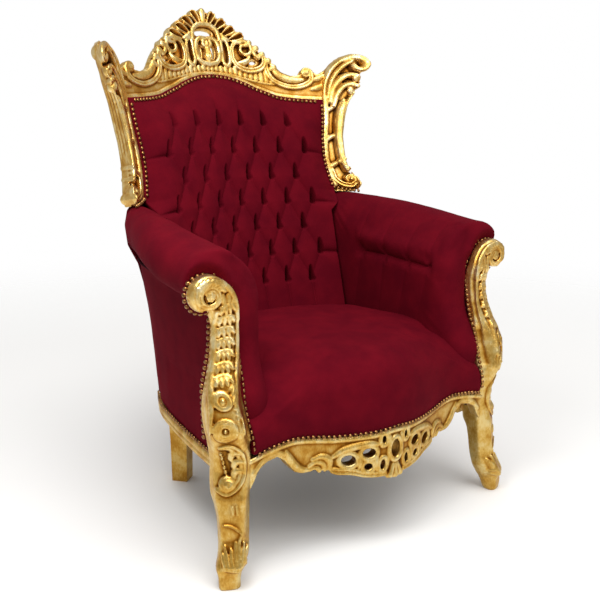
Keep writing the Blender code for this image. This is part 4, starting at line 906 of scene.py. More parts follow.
    # The scroll below the knee: a bead chain, a rolled edge round the eye, and leaf lobes beside it
    for step in range(6):
        bump(0.408 - 0.0022 * step, 0.289 - 0.0102 * step, (0.003, 0.0036, 0.0042))
    add("groove", 0.55, [(0.408, 0.303, 0.004), (0.394, 0.305, 0.007), (0.379, 0.292, 0.0085),
                         (0.371, 0.268, 0.0085), (0.372, 0.243, 0.0085), (0.381, 0.22, 0.008),
                         (0.396, 0.206, 0.0072), (0.41, 0.212, 0.0055)], -0.001)
    for size, lift in ((1.0, 0.0), (0.55, 0.005)):
        shapes.append(rim(on_post, 0.396, 0.225, 0.01 * size, 0.011 * size, 0, 0.0048 * size,
                          "round", 0.9, lift))
    bump(0.396, 0.225, (0.0085, 0.006, 0.009), 0.001)
    for x, z, reach in ((0.392, 0.286, 0.012), (0.386, 0.268, 0.013), (0.386, 0.248, 0.012)):
        add("leaf", 0.7, [(x - reach, z + 0.004, 0.005), (x - 0.3 * reach, z + 0.004, 0.0068),
                          (x, z - 0.006, 0.005), (x - 0.002, z - 0.012, 0.003)], 0.001)
    for x in (0.3795, 0.3865):
        add("round", 0.6, [(x, 0.16, 0.0011), (x + 0.0005, 0.168, 0.0016),
                           (x + 0.001, 0.177, 0.0011)], -0.0005)
    add("round", 0.5, [(0.404, 0.137, 0.0012), (0.393, 0.136, 0.0018), (0.382, 0.128, 0.0018),
                       (0.375, 0.119, 0.0012)], -0.0005)
    # Acanthus leaves fan out of the foot, with a small scroll at its toe
    for x, z, x_tip, top, half in ((0.416, 0.055, 0.414, 0.08, 0.0045), (0.41, 0.054, 0.406, 0.094, 0.0048),
                                   (0.4035, 0.054, 0.397, 0.089, 0.0048),
                                   (0.397, 0.054, 0.386, 0.102, 0.0048),
                                   (0.391, 0.055, 0.376, 0.115, 0.0052), (0.385, 0.056, 0.371, 0.1, 0.005),
                                   (0.379, 0.06, 0.3645, 0.092, 0.0048)):
        add("round", 1.1, [(x, z, 0.7 * half), (0.6 * x + 0.4 * x_tip, z + 0.5 * (top - z), 0.72 * half),
                           (x_tip, top, 0.0014)], -0.0005)
    add("round", 0.7, volute(0.384, 0.062, 0.008, 180, -1.0, 0.0038), 0.001)
    add("round", 0.5, [(0.376, 0.053, 0.003), (0.394, 0.047, 0.0045), (0.416, 0.051, 0.004)], -0.002)
    return shapes


def eased(amount):
    """A soft step from 0 to 1."""
    share = np.clip(amount, 0.0, 1.0)
    return share * share * (3 - 2 * share)


def swell_corner(thing):
    """Let the knee, calf and foot stand out diagonally at the corner, as a cabriole leg does."""
    place, _ = places_of(thing)
    x, y, z = place.T
    centre = np.interp(z, [row[0] for row in LEG_PATH], [row[1] for row in LEG_PATH])
    front = np.interp(z, *zip(*LEG_FRONT_Y))
    back = np.interp(z, *zip(*LEG_BACK_Y))
    across, ahead = SWELL_WAY[:2]
    outward = (across * (x - centre) + ahead * (y - (front + back) / 2)) / (0.4 * (back - front))
    move = np.interp(z, *zip(*CORNER_SWELL)) * eased((outward - 0.15) / 0.6)
    move -= np.interp(z, *zip(*HEEL_SWELL)) * eased((-outward - 0.15) / 0.6)
    put_places(thing, place + move[:, None] * SWELL_WAY)


# The front rail and its apron, as (x, z) on the serpentine, right half

RAIL_TOP_Z = [(0.0, 0.279), (0.05, 0.275), (0.1, 0.274), (0.15, 0.275), (0.19, 0.28),
              (0.24, 0.285), (0.3, 0.279), (0.35, 0.268)]
APRON_EDGE = [(0.0, 0.158), (0.01, 0.159), (0.022, 0.161), (0.03, 0.167), (0.05, 0.17),
              (0.072, 0.176), (0.095, 0.184), (0.13, 0.197), (0.155, 0.205), (0.178, 0.208),
              (0.22, 0.205), (0.236, 0.21), (0.248, 0.224), (0.262, 0.244), (0.28, 0.256),
              (0.305, 0.252), (0.326, 0.24), (0.338, 0.218), (0.35, 0.2)]
APRON_HOLES = [(0.0, 0.229, 0.014, 0.0225, 0), (0.033, 0.256, 0.0055, 0.01, 0),
               (0.036, 0.1975, 0.007, 0.0125, 6), (0.07, 0.2305, 0.0165, 0.011, 8),
               (0.072, 0.1985, 0.0105, 0.008, 12), (0.117, 0.219, 0.017, 0.0125, 12)]
APRON_RIDGES = [
    ("round", 1.0, [(0.0, 0.192, 0.004), (0.0, 0.166, 0.0075)]),
    ("round", 1.0, [(0.006, 0.192, 0.004), (0.015, 0.168, 0.0075)]),
    ("groove", 0.5, [(0.15, 0.2, 0.008), (0.138, 0.196, 0.009), (0.11, 0.192, 0.009), (0.082, 0.182, 0.008),
                     (0.052, 0.177, 0.008), (0.03, 0.175, 0.007)]),
    ("leaf", 0.6, [(0.15, 0.232, 0.006), (0.128, 0.244, 0.009), (0.1, 0.25, 0.01), (0.072, 0.252, 0.009),
                   (0.05, 0.248, 0.006)]),
    ("leaf", 0.7, [(0.094, 0.226, 0.005), (0.091, 0.21, 0.008), (0.094, 0.198, 0.005)]),
    ("leaf", 0.7, [(0.05, 0.222, 0.004), (0.053, 0.208, 0.008), (0.052, 0.19, 0.006)]),
    ("leaf", 0.7, [(0.02, 0.26, 0.005), (0.018, 0.256, 0.006), (0.022, 0.2, 0.005)]),
    ("leaf", 0.6, [(0.158, 0.206, 0.006), (0.16, 0.226, 0.009), (0.175, 0.236, 0.008),
                   (0.194, 0.232, 0.006)]),
    ("leaf", 0.6, [(0.168, 0.204, 0.005), (0.173, 0.219, 0.007), (0.188, 0.225, 0.007),
                   (0.203, 0.218, 0.006)]),
    ("leaf", 0.6, [(0.18, 0.203, 0.005), (0.186, 0.211, 0.006), (0.196, 0.212, 0.005)]),
    ("leaf", 0.6, [(0.2, 0.209, 0.005), (0.222, 0.214, 0.009), (0.238, 0.228, 0.01), (0.25, 0.248, 0.008),
                   (0.258, 0.262, 0.005)]),
    ("round", 0.5, [(0.262, 0.258, 0.005), (0.285, 0.266, 0.006), (0.315, 0.258, 0.006),
                    (0.34, 0.234, 0.006)]),
]


def front_rail_shapes():
    """The front rail, its pierced apron and everything carved on its right half."""
    outline = [(-0.008, 0.158)] + APRON_EDGE + RAIL_TOP_Z[::-1] + [(-0.008, 0.279)]
    holes = [oval(*hole) for hole in APRON_HOLES]
    plate_top = -0.004
    shapes = [slab(on_rail, outline, holes, -RAIL_THICKNESS, plate_top)]
    for form, rise, points in APRON_RIDGES:
        shapes.append(ridge(on_rail, points, form, rise, plate_top, root=-0.02))
    # A rounded lip round each opening
    for u, v, half_u, half_v, tilt in APRON_HOLES[1:]:
        shapes.append(rim(on_rail, u, v, half_u + 0.0045, half_v + 0.0045, tilt, 0.0058,
                          "round", 0.65, plate_top))
    u, v, half_u, half_v, _ = APRON_HOLES[0]
    half_ring = [(half_u * math.cos(a) + 0.0045 * math.cos(a), v + (half_v + 0.0045) * math.sin(a), 0.0062)
                 for a in np.radians(range(-105, 106, 15))]
    shapes.append(ridge(on_rail, half_ring, "round", 0.75, plate_top, steps=4, root=-0.02))
    border = [(x, z - 0.006, 0.0058) for x, z in [(-0.006, 0.279)] + RAIL_TOP_Z]
    shapes.append(ridge(on_rail, border, "round", 0.6, plate_top, steps=3, root=-0.02))
    return shapes


# Upholstery

def pad_half_width(z):
    """Half the width of the inside back at a height; it runs in behind the arms and the uprights."""
    side = [(pz, px + 0.002) for px, pz in reversed(VELVET_SIDE)]
    table = [(0.2, ARM_INNER_X), (ARM_REAR_Z - 0.06, ARM_INNER_X + 0.006), (ARM_REAR_Z - 0.035, 0.298)]
    return follow(table + side + [(CORNER_Z, 0.304)], z)


BUTTON_PITCH = 0.076
BUTTON_ROWS = (0.926, 0.852, 0.781, 0.713, 0.645, 0.575, 0.502)


def back_buttons():
    """The inside back's buttons, row by row, as (x, z)."""
    rows = []
    for row, z in enumerate(BUTTON_ROWS):
        count = 7 if row % 2 else 6
        rows.append([((i - (count - 1) / 2) * BUTTON_PITCH, z) for i in range(count)])
    return rows


def segment_distance(x, z, start, end):
    """How far places lie from a straight line between two points."""
    (x0, z0), (x1, z1) = start, end
    dx, dz = x1 - x0, z1 - z0
    share = np.clip(((x - x0) * dx + (z - z0) * dz) / (dx * dx + dz * dz), 0, 1)
    return np.hypot(x - x0 - share * dx, z - z0 - share * dz), share


def pleat(distance, deep, wide, fine):
    """The soft valley beside a pleat with the sharp fold at its bottom."""
    return deep * np.exp(-distance / wide) + fine * np.exp(-distance / 0.0024)


SLIT_HEIGHT = 0.04
BUTTON_PULL = 0.037


def tufting(x, z):
    """How far the buttons and pleats pull the inside back in, in metres, at arrays of places."""
    rows = back_buttons()
    pull = np.zeros_like(x)
    for above, below in zip(rows, rows[1:]):
        for start in above:
            for end in below:
                if abs(start[0] - end[0]) < BUTTON_PITCH:
                    d, _ = segment_distance(x, z, start, end)
                    pull = np.maximum(pull, pleat(d, 0.0085, 0.014, 0.0003))
    # Upright pleats over the top row, fading out below the crest
    for start in rows[0]:
        d, share = segment_distance(x, z, start, (start[0] * 1.06, start[1] + 0.095))
        pull = np.maximum(pull, (1 - share) * pleat(d, 0.009, 0.01, 0.003))
    for start in rows[-1]:
        d, share = segment_distance(x, z, start, (start[0], start[1] - 0.095))
        pull = np.maximum(pull, (1 - 0.5 * share) * pleat(d, 0.009, 0.01, 0.003))
    # Level pleats from the end buttons of the long rows to the sides
    for row in rows[1::2]:
        for start in (row[0], row[-1]):
            end = (math.copysign(0.31, start[0]), start[1] - 0.004)
            d, share = segment_distance(x, z, start, end)
            pull = np.maximum(pull, (1 - 0.35 * share) * pleat(d, 0.012, 0.01, 0.004))
    # Each button sits at the foot of a narrow upright fold
    for u, v in (button for row in rows for button in row):
        rise = np.clip((z - v) / SLIT_HEIGHT, 0.0, 1.0)
        fold = 0.0026 + 0.0046 * np.sqrt(1 - rise)
        above = (z >= v) * (z <= v + SLIT_HEIGHT)
        slit = above * (1 - rise ** 2) * np.exp(-(np.abs(x - u) / fold) ** 2)
        hollow = np.exp(-((x - u) / 0.008) ** 2 - ((z - v) / 0.007) ** 2)
        pull = np.maximum(pull, BUTTON_PULL * np.maximum(slit, hollow))
    return pull


def pad_height(x, z, top):
    """How far the inside back's padding stands in front of the barrel, before the buttons pull it in."""
    half = np.vectorize(pad_half_width)(z)
    from_side = np.clip((half - np.abs(x) - 0.007) / 0.075, 0.0, 1.0)
    above_arm = np.clip((z - ARM_REAR_Z + 0.045) / 0.045, 0.0, 1.0)
    side = 1 - above_arm * (1 - from_side) ** 2.4
    from_top = np.clip((top - z - 0.007) / 0.13, 0.0, 1.0)
    full = PAD_DEPTH + 0.004 + 0.008 * np.clip(1 - (x / 0.22) ** 2, 0.0, 1.0)
    return PAD_EDGE + (full - PAD_EDGE) * side * (1 - (1 - from_top) ** 2.4)


def back_height(x, z):
    """The height of the buttoned surface over the barrel at arrays of x and z."""
    top = np.interp(np.abs(x), *zip(*VELVET_TOP))
    near_top = np.clip((top - z) / 0.09, 0.0, 1.0)
    near_side = np.clip((0.296 - np.abs(x)) / 0.05, 0.0, 1.0)
    above_arm = np.clip((z - ARM_REAR_Z + 0.045) / 0.045, 0.0, 1.0)
    hold = np.minimum(near_top, 1 - above_arm * (1 - near_side) * 0.8)
    return pad_height(x, z, top) - tufting(x, z) * hold


def back_surface(x, z):
    """Points of the buttoned inside back at arrays of x and z."""
    normal = np.stack([-2 * BOW * x, -np.ones_like(x), np.full_like(x, RAKE)], -1)
    normal /= np.linalg.norm(normal, axis=-1, keepdims=True)
    face = np.stack([x, back_y(x, z), z], -1)
    return face + normal * back_height(x, z)[..., None]


def make_back():
    """The deep-buttoned inside back, a closed pad."""
    columns, rows = 261, 270
    low = 0.4
    u = np.linspace(-1, 1, columns)[None, :] * np.ones((rows, 1))
    share = np.linspace(0, 1, rows)[:, None] * np.ones((1, columns))
    top = np.interp(np.abs(u * 0.302), *zip(*VELVET_TOP)) + 0.004
    z = low + share * (top - low)
    x = u * np.vectorize(pad_half_width)(z)
    front = back_surface(x, z)
    rear = front.copy()
    rear[..., 1] = back_y(x, z) + 0.018
    return grid_solid("back_pad", front, rear)


def grid_solid(name, front, rear):
    """A closed object between two grids of points of the same size."""
    rows, columns = front.shape[:2]
    total = rows * columns
    index = np.arange(total).reshape(rows, columns)
    a, b, c, d = index[:-1, :-1], index[:-1, 1:], index[1:, 1:], index[1:, :-1]
    quads = np.stack([a, b, c, d], -1).reshape(-1, 4)
    faces = quads.tolist() + (quads[:, ::-1] + total).tolist()
    edge = (index[0, :-1].tolist() + index[:-1, -1].tolist() + index[-1, :0:-1].tolist()
            + index[:0:-1, 0].tolist())
    for i, here in enumerate(edge):
        further = edge[(i + 1) % len(edge)]
        faces.append((further, here, here + total, further + total))
    mesh = bpy.data.meshes.new(name)
    mesh.from_pydata(np.vstack([front.reshape(-1, 3), rear.reshape(-1, 3)]).tolist(), [], faces)
    made = new_object(name, mesh)
    edit_mesh(made, (bpy.ops.mesh.normals_make_consistent, {"inside": False}))
    return made


# Half the width of the outside panel by height
PANEL_SIDE = [(0.2725, 0.304), (0.34, 0.304), (0.47, 0.306), (0.55, 0.316), (0.6, 0.328), (0.65, 0.357),
              (0.7, 0.362),
              (0.736, 0.348), (0.748, 0.318), (0.755, 0.306), (0.85, 0.302), (0.924, 0.308), (0.99, 0.314)]


def outside_edge(u, v):
    """A point of the outside panel's face, from u across (-1 to 1) and v up (0 to 1)."""
    top = follow(VELVET_TOP, abs(u) * 0.302) - 0.009
    z = BACK_FOOT_Z + v * (top - BACK_FOOT_Z)
    x = u * follow(PANEL_SIDE, z)
    return x, rear_y(x, z), z


def make_outside_back():
    """The lightly padded cloth panel that closes the rear of the back."""
    columns, rows = 81, 121
    rear = np.array([[outside_edge(u, v) for u in np.linspace(-1, 1, columns)]
                     for v in np.linspace(0, 1, rows)])
    front = rear.copy()
    front[..., 1] -= 0.006
    u, v = np.meshgrid(np.linspace(-1, 1, columns), np.linspace(0, 1, rows))
    rear[..., 1] += 0.007 * (1 - u ** 6) * (1 - (2 * v - 1) ** 6)
    return grid_solid("outside_back_panel", front, rear)


def button_cover(size):
    """One covered button, modelled once: a flattened dome with its rim on the ground."""
    bpy.ops.mesh.primitive_uv_sphere_add(segments=12, ring_count=8, radius=size)
    button = bpy.context.active_object
    edit_mesh(button, (bpy.ops.transform.resize, {"value": (1, 1, 0.5)}))
    return button


def back_button_places():
    """Where the inside back's buttons sit, and which way they look."""
    found = []
    for u, v in (button for row in back_buttons() for button in row):
        x, z = np.array([u]), np.array([v])
        found.append((Vector(back_surface(x, z)[0]), off_back(u)))
    return found


# The arms: (y, size) tables of the roll's top, its outermost line and the tuck under it
SHELL_PLAN = [(0.367, -0.2797), (0.362, -0.2), (0.356, -0.1), (0.348, 0.0), (0.332, 0.08), (0.302, 0.146)]
REAR_PLAN = [(0.3005, 0.1485), (0.25, 0.178), (0.15, 0.192), (0.0, 0.197)]
# The side rail's section as (out, share of its height), and its edges as (y, z)
SIDE_RAIL_PROFILE = [(-0.028, 0.0), (-0.004, 0.0), (0.001, 0.12), (0.003, 0.28), (0.003, 0.42),
                     (0.0005, 0.5), (0.0035, 0.58), (0.0045, 0.72), (0.0035, 0.88), (0.0005, 1.0),
                     (-0.028, 1.0)]
RAIL_HIGH_Z = [(-0.28, 0.235), (-0.2, 0.238), (-0.15, 0.242), (-0.1, 0.2465), (-0.05, 0.2515),
               (0.0, 0.2575), (0.08, 0.262), (0.2, 0.266)]
RAIL_LOW_Z = [(-0.28, 0.2), (-0.2, 0.203), (-0.15, 0.2065), (-0.1, 0.212), (-0.05, 0.219),
              (0.0, 0.226), (0.08, 0.232), (0.2, 0.238)]
ARM_TOP_Z = [(-0.28, 0.698), (-0.2, 0.706), (-0.1, 0.718), (0.0, 0.732), (0.1, 0.742),
             (0.15, 0.746), (0.22, 0.746)]
ARM_OUT_X = [(-0.28, 0.452), (-0.1, 0.45), (0.0, 0.432), (0.08, 0.405), (0.14, 0.38), (0.22, 0.362)]
ARM_TUCK_X = [(-0.28, 0.382), (-0.1, 0.374), (0.0, 0.37), (0.08, 0.362), (0.14, 0.345), (0.22, 0.315)]
ARM_TUCK_DROP = 0.118
ARM_ROUND = [(-0.28, 0.11), (-0.1, 0.1), (0.05, 0.085), (0.12, 0.07), (0.22, 0.06)]
NOSE_ROUND = 0.049
NOSE_NAIL = [(0.335, 0.35, -0.32), (0.37, 0.355, -0.325), (0.4, 0.358, -0.32), (0.44, 0.357, -0.3),
             (0.48, 0.352, -0.283), (0.52, 0.348, -0.28), (0.6, 0.347, -0.28)]
NOSE_TOP = [(0.625, 0.012), (0.638, 0.02), (0.65, 0.03), (0.66, 0.043), (0.667, 0.06)]
ARM_BUTTONS = [(0.027, 0.594), (-0.063, 0.595), (-0.151, 0.589), (-0.228, 0.586)]
ARM_PLEAT_FOOT_Y = (0.052, -0.048, -0.126, -0.197)


def side_rail():
    """The moulded rail under the right arm, with a groove along its outer face."""
    path = curve_through(SHELL_PLAN, 6)
    tangents = np.gradient(path, axis=0)
    rings = []
    for (x, y), (dx, dy) in zip(path, tangents):
        length = math.hypot(dx, dy)
        low, high = follow(RAIL_LOW_Z, y), follow(RAIL_HIGH_Z, y)
        rings.append([(x + dy / length * out, min(y - dx / length * out, 0.1475),
                       low + level * (high - low)) for out, level in SIDE_RAIL_PROFILE])
    return loft(rings)


def rear_y(x, z):
    """The face that the rear of the arms and the outside panel share."""
    if z > BARREL_FROM_Z:
        return back_y(x, z) + REAR_SHIFT
    foot = follow(sorted(REAR_PLAN), abs(x)) - 0.003
    level = (z - BACK_FOOT_Z) / (BARREL_FROM_Z - BACK_FOOT_Z)
    return foot + level * (back_y(x, BARREL_FROM_Z) + REAR_SHIFT - foot)


def arm_nose():
    """The arm's padded front, which swells forward beside the post."""
    rings = []
    levels = [(z, x, y, 0.0) for z, x, y in curve_through(NOSE_NAIL, 2)]
    levels += [(z, *NOSE_NAIL[-1][1:], inward) for z, inward in NOSE_TOP]
    for z, x, y, inward in levels:
        u, v = x - 0.7 * NOSE_ROUND + 0.84 * inward, y + 0.7 * NOSE_ROUND + 0.54 * inward
        ring = [(u + NOSE_ROUND * math.cos(math.radians(turn)),
                 v + NOSE_ROUND * math.sin(math.radians(turn))) for turn in range(-45, -176, -13)]
        ring += [(ARM_INNER_X + 0.002 + inward, POST_BACK_Y + 0.06), (x, POST_BACK_Y + 0.06)]
        rings.append([(u, v, z) for u, v in ring])
    return loft(rings)


def arm_body():
    """The right arm's roll and its outside panel."""
    rings = []
    plan = sorted((y, x) for x, y in SHELL_PLAN)
    for share in np.linspace(0, 1, 25):
        def y_at(x, z):
            return POST_BACK_Y + share * (rear_y(x, min(z, BARREL_FROM_Z)) - 0.006 - POST_BACK_Y)
        y = y_at(0.34, 0.7)
        top, out, tuck = follow(ARM_TOP_Z, y), follow(ARM_OUT_X, y), follow(ARM_TUCK_X, y)
        tuck_z = top - ARM_TUCK_DROP
        y_foot = y_at(0.3, BACK_FOOT_Z)
        foot = max(follow(plan, y_foot) - 0.001, ARM_INNER_X + 0.033)
        foot_z = follow(RAIL_HIGH_Z, y_foot)
        bend = follow(ARM_ROUND, y)
        ring = [(ARM_INNER_X, foot_z + 0.015), (ARM_INNER_X, 0.45)]
        for turn in range(0, 91, 10):
            a = math.radians(turn)
            ring.append((ARM_INNER_X + bend * (1 - math.cos(a)), top - bend * (1 - math.sin(a))))
        roll = min(0.056, 0.5 * (out - ARM_INNER_X - bend) + 0.02)
        for turn in range(75, -56, -13):
            a = math.radians(turn)
            ring.append((out - roll + roll * math.cos(a), top - 0.057 + 0.057 * math.sin(a)))
        ring += [(tuck + 0.004, tuck_z), (tuck, tuck_z - 0.01), (tuck - 0.002, tuck_z - 0.03)]
        for level in (0.56, 0.5, 0.44, 0.38, 0.32):
            ring.append((foot + (tuck - foot) * ((level - 0.3) / 0.3) ** 3 + 0.004, level))
        ring.append((foot, foot_z))
        rings.append([(x, y_at(x, z), z) for x, z in ring])
    return loft(rings)


def relax(thing, passes, weight):
    """Smooth an object's points towards their neighbours, each by its weight from 0 to 1."""
    place, _ = places_of(thing)
    mean = neighbours_mean(thing)
    for _ in range(passes):
        place = place + 0.6 * weight[:, None] * (mean(place) - place)
    put_places(thing, place)


def plump(thing, held, cap):
    """Swell a stuffed piece with a cloth simulation; held points stay, and none moves more than cap."""
    before, _ = places_of(thing)
    group = thing.vertex_groups.new(name="held")
    for index in np.nonzero(held)[0].tolist():
        group.add([index], 1.0, "REPLACE")
    activate(thing)
    bpy.ops.object.modifier_add(type="CLOTH")
    settings = thing.modifiers[-1].settings
    settings.quality = 4
    settings.use_pressure = True
    settings.uniform_pressure_force = 4.0
    settings.effector_weights.gravity = 0.0
    settings.vertex_group_mass = "held"
    settings.tension_stiffness = 15.0
    settings.compression_stiffness = 15.0
    scene = bpy.context.scene
    for step in range(1, 21):
        scene.frame_set(step)
    evaluated = thing.evaluated_get(bpy.context.evaluated_depsgraph_get())
    after = np.empty(len(before) * 3)
    evaluated.data.vertices.foreach_get("co", after)
    after = after.reshape(-1, 3)
    bpy.ops.object.modifier_remove(modifier=thing.modifiers[-1].name)
    thing.vertex_groups.clear()
    scene.frame_set(1)
    moved = after - before
    length = np.maximum(np.linalg.norm(moved, axis=1), 1e-9)
    share = cap * np.tanh(length / cap) / length
    put_places(thing, before + moved * share[:, None])


def make_arm():
    """The right-hand arm: a stuffed roll with a row of buttons on its inner face."""
    arm = add_object("arm_pad_right", [arm_body(), arm_nose()])
    modify(arm, "REMESH", mode="VOXEL", voxel_size=CLOTH_VOXEL)
    place, _ = places_of(arm)
    x, y, z = place.T
    crease = np.clip(1 - np.hypot(x - 0.375, z - np.interp(y, (-0.28, 0.1), (0.59, 0.625))) / 0.02, 0, 1)
    near_post = np.clip((x - 0.325) / 0.015, 0, 1) * np.clip((-0.25 - y) / 0.02, 0, 1)
    relax(arm, 26, np.clip((z - 0.4) / 0.06, 0.15, 1.0) * (1 - 0.85 * crease) * (1 - 0.95 * near_post))
    # Its end hangs a little over the volute
    place, _ = places_of(arm)
    x, y, z = place.T
    round_volute = np.hypot(x - VOLUTE_CENTRE[0], z - VOLUTE_CENTRE[1])
    hang = np.exp(-((round_volute - 0.066) / 0.016) ** 2) * np.clip((z - 0.6) / 0.03, 0, 1)
    place[:, 1] -= 0.012 * hang * np.clip((-0.24 - y) / 0.04, 0, 1)
    put_places(arm, place)
    place, _ = places_of(arm)
    x, y, z = place.T
    at_post = (y > POST_BACK_Y - 0.02) & (y < POST_BACK_Y + 0.008) & (x > 0.345)
    plump(arm, (z < 0.4) | (y > 0.16) | at_post, ARM_SWELL)
    modify(arm, "SUBSURF", levels=1, render_levels=1)
    place, normal = places_of(arm)
    x, y, z = place.T
    inward = np.clip((-normal[:, 0] - 0.05) / 0.4, 0, 1) + np.clip((normal[:, 2] - 0.3) / 0.4, 0, 1)
    inward = np.clip(inward, 0, 1) * np.clip((0.385 - x) / 0.06, 0, 1) * np.clip((y + 0.275) / 0.04, 0, 1)
    pull = np.zeros(len(x))
    row_z = np.interp(y, *zip(*sorted(ARM_BUTTONS)))
    for (v, w), foot in zip(ARM_BUTTONS, ARM_PLEAT_FOOT_Y):
        line = np.interp(z, [0.45, w, 0.7], [foot, v, v + 0.004])
        d = np.abs(y - line)
        fade = np.clip(1 - (z - w) / 0.2, 0.2, 1) * np.clip(1 - (w - z) / 0.22, 0.2, 1)
        pull = np.maximum(pull, fade * (0.0042 * np.exp(-d / 0.013) + 0.0016 * np.exp(-d / 0.0026)))
        r = np.hypot(y - v, (z - w) * np.where(z > w, 0.55, 0.9))
        pull = np.maximum(pull, 0.02 * np.exp(-(r / 0.012) ** 1.3))
    along = np.clip((y + 0.25) / 0.03, 0, 1) * np.clip((0.055 - y) / 0.03, 0, 1)
    above = np.maximum(z - row_z, 0)
    below = np.maximum(row_z - z, 0)
    pull = np.maximum(pull, along * 0.0155 * np.exp(-above / 0.011) * np.exp(-below / 0.0065))
    # The stuffing rolls out over the row of buttons
    swell = along * 0.0085 * np.exp(-((z - row_z - 0.04) / 0.022) ** 2)
    put_places(arm, place - normal * ((pull - swell) * inward)[:, None])
    return arm


def make_piping(name):
    """The covered cord in the tuck under the right arm's roll."""
    path = []
    for y in np.linspace(0.125, -0.262, 24):
        path.append((follow(ARM_TUCK_X, y) + 0.0065, y, follow(ARM_TOP_Z, y) - ARM_TUCK_DROP - 0.004))
    curve = bpy.data.curves.new(name, "CURVE")
    curve.dimensions = "3D"
    curve.bevel_depth = 0.0032
    curve.bevel_resolution = 3
    curve.use_fill_caps = True
    spline = curve.splines.new("POLY")
    spline.points.add(len(path) - 1)
    for point, where in zip(spline.points, path):
        point.co = (*where, 1.0)
    activate(new_object(name, curve))
    bpy.ops.object.convert(target="MESH")
    return bpy.context.active_object


def make_seat():
    """The fixed seat, domed and rolled down to the nails at the front."""
    rings = []
    half = 0.3425
    inner = ARM_INNER_X
    for x in np.linspace(-half, half, 61):
        beyond = max(abs(x) - inner, 0.0) / (half - inner)
        front = rail_y(x)
        fall = follow(RAIL_TOP_Z, abs(x)) + 0.001
        rear = (1 - beyond) * (back_y(x, 0.44) - PAD_DEPTH + 0.02) + beyond * POST_BACK_Y
        crown = SEAT_TOP_Z - 0.01 * (x / inner) ** 2
        brow = SEAT_TOP_Z - 0.012 - 0.075 * (abs(x) / 0.34) ** 3
        ring = [(front - 0.004, fall + 0.12 * (brow - fall)), (front - 0.0055, fall + 0.3 * (brow - fall)),
                (front - 0.001, fall + 0.55 * (brow - fall)), (front + 0.01, fall + 0.78 * (brow - fall)),
                (front + 0.032, brow - 0.006)]
        middle = (front + rear) / 2
        ring += [(front + 0.085, 0.45 * brow + 0.55 * crown), (middle, crown + 0.002),
                 (0.4 * middle + 0.6 * rear, crown), (rear, crown - 0.012)]
        top = curve_through(ring, 4).tolist()
        # The webbing rises to the front rail, behind which it is hidden
        webbing = max(SEAT_UNDER_Z, follow(APRON_EDGE, abs(x)) + 0.01)
        inner_y = front + RAIL_THICKNESS + 0.002
        back = [(rear, SEAT_UNDER_Z), (0.5 * (inner_y + rear), SEAT_UNDER_Z),
                (inner_y + 0.085, SEAT_UNDER_Z), (inner_y, webbing), (inner_y, fall), (front + 0.001, fall)]
        rings.append([(x, y, z) for y, z in top + back])
    seat = add_object("seat_pad", [loft(rings)])
    modify(seat, "REMESH", mode="VOXEL", voxel_size=SEAT_VOXEL)
    modify(seat, "SMOOTH", factor=0.5, iterations=8)
    place, normal = places_of(seat)
    x, y, z = place.T
    plump(seat, (normal[:, 2] < 0.3) & (z < 0.36) | (z < 0.3), SEAT_SWELL)
    modify(seat, "SUBSURF", levels=1, render_levels=1)
    return seat


def cover_underside(thing, material):
    """Give the faces that look straight down their own cloth."""
    thing.data.materials.append(material)
    for face in thing.data.polygons:
        if face.normal.z < -0.7 and face.center.z < 0.3:
            face.material_index = 1


# Nails

NAIL_PITCH = 0.0122
NAIL_RADIUS = 0.005


def nail_head():
    """One domed nail head, modelled once with its rim on the ground."""
    bpy.ops.mesh.primitive_uv_sphere_add(segments=10, ring_count=8, radius=NAIL_RADIUS)
    head = bpy.context.active_object
    halved = {"plane_co": (0, 0, -0.0004), "plane_no": (0, 0, 1), "clear_inner": True, "use_fill": True}
    edit_mesh(head, (bpy.ops.mesh.bisect, halved), (bpy.ops.transform.resize, {"value": (1, 1, 0.72)}))
    return head


def nail_line(points, facing):
    """Places and directions of nails along a line of points, evenly spaced."""
    points = np.array(points, float)
    steps = np.linalg.norm(np.diff(points, axis=0), axis=1)
    along = np.concatenate([[0], np.cumsum(steps)])
    count = max(int(round(along[-1] / NAIL_PITCH)), 1)
    nails = []
    for where in np.linspace(0, along[-1], count + 1):
        place = [float(np.interp(where, along, points[:, axis])) for axis in range(3)]
        nails.append((Vector(place), Vector(facing(*place)).normalized()))
    return nails


def both_sides(nails):
    """Nails with their mirror images."""
    mirrored = [(Vector((-p.x, p.y, p.z)), Vector((-n.x, n.y, n.z))) for p, n in nails]
    return nails + mirrored


def spread_out(name, head, nails):
    """One object with a copy of a small head on each place, which removes the head itself."""
    meshes = []
    for place, normal in nails:
        turn = Vector(normal).to_track_quat("Z", "Y").to_matrix().to_4x4()
        meshes.append(head.data.copy())
        meshes[-1].transform(Matrix.Translation(place) @ turn)
    bpy.data.objects.remove(head, do_unlink=True)
    return join_meshes(name, meshes)


# The nails beside the arm post: (x, y, z) on its inner side, and (z, x) on its outer side
POST_NAILS_OUTER = [(0.2, 0.412), (0.3, 0.417), (0.42, 0.42), (0.5, 0.402), (0.57, 0.399)]
POST_NAILS_INNER = [(0.386, -0.28, 0.65), (0.369, -0.28, 0.625), (0.352, -0.28, 0.6),
                    (0.345, -0.279, 0.574), (0.344, -0.285, 0.553), (0.3435, -0.291, 0.528),
                    (0.3435, -0.298, 0.49), (0.344, -0.307, 0.46), (0.3465, -0.32, 0.428),
                    (0.3485, -0.328, 0.396), (0.3485, -0.334, 0.37), (0.3475, -0.345, 0.34),
                    (0.3455, -0.354, 0.315), (0.344, -0.356, 0.292)]


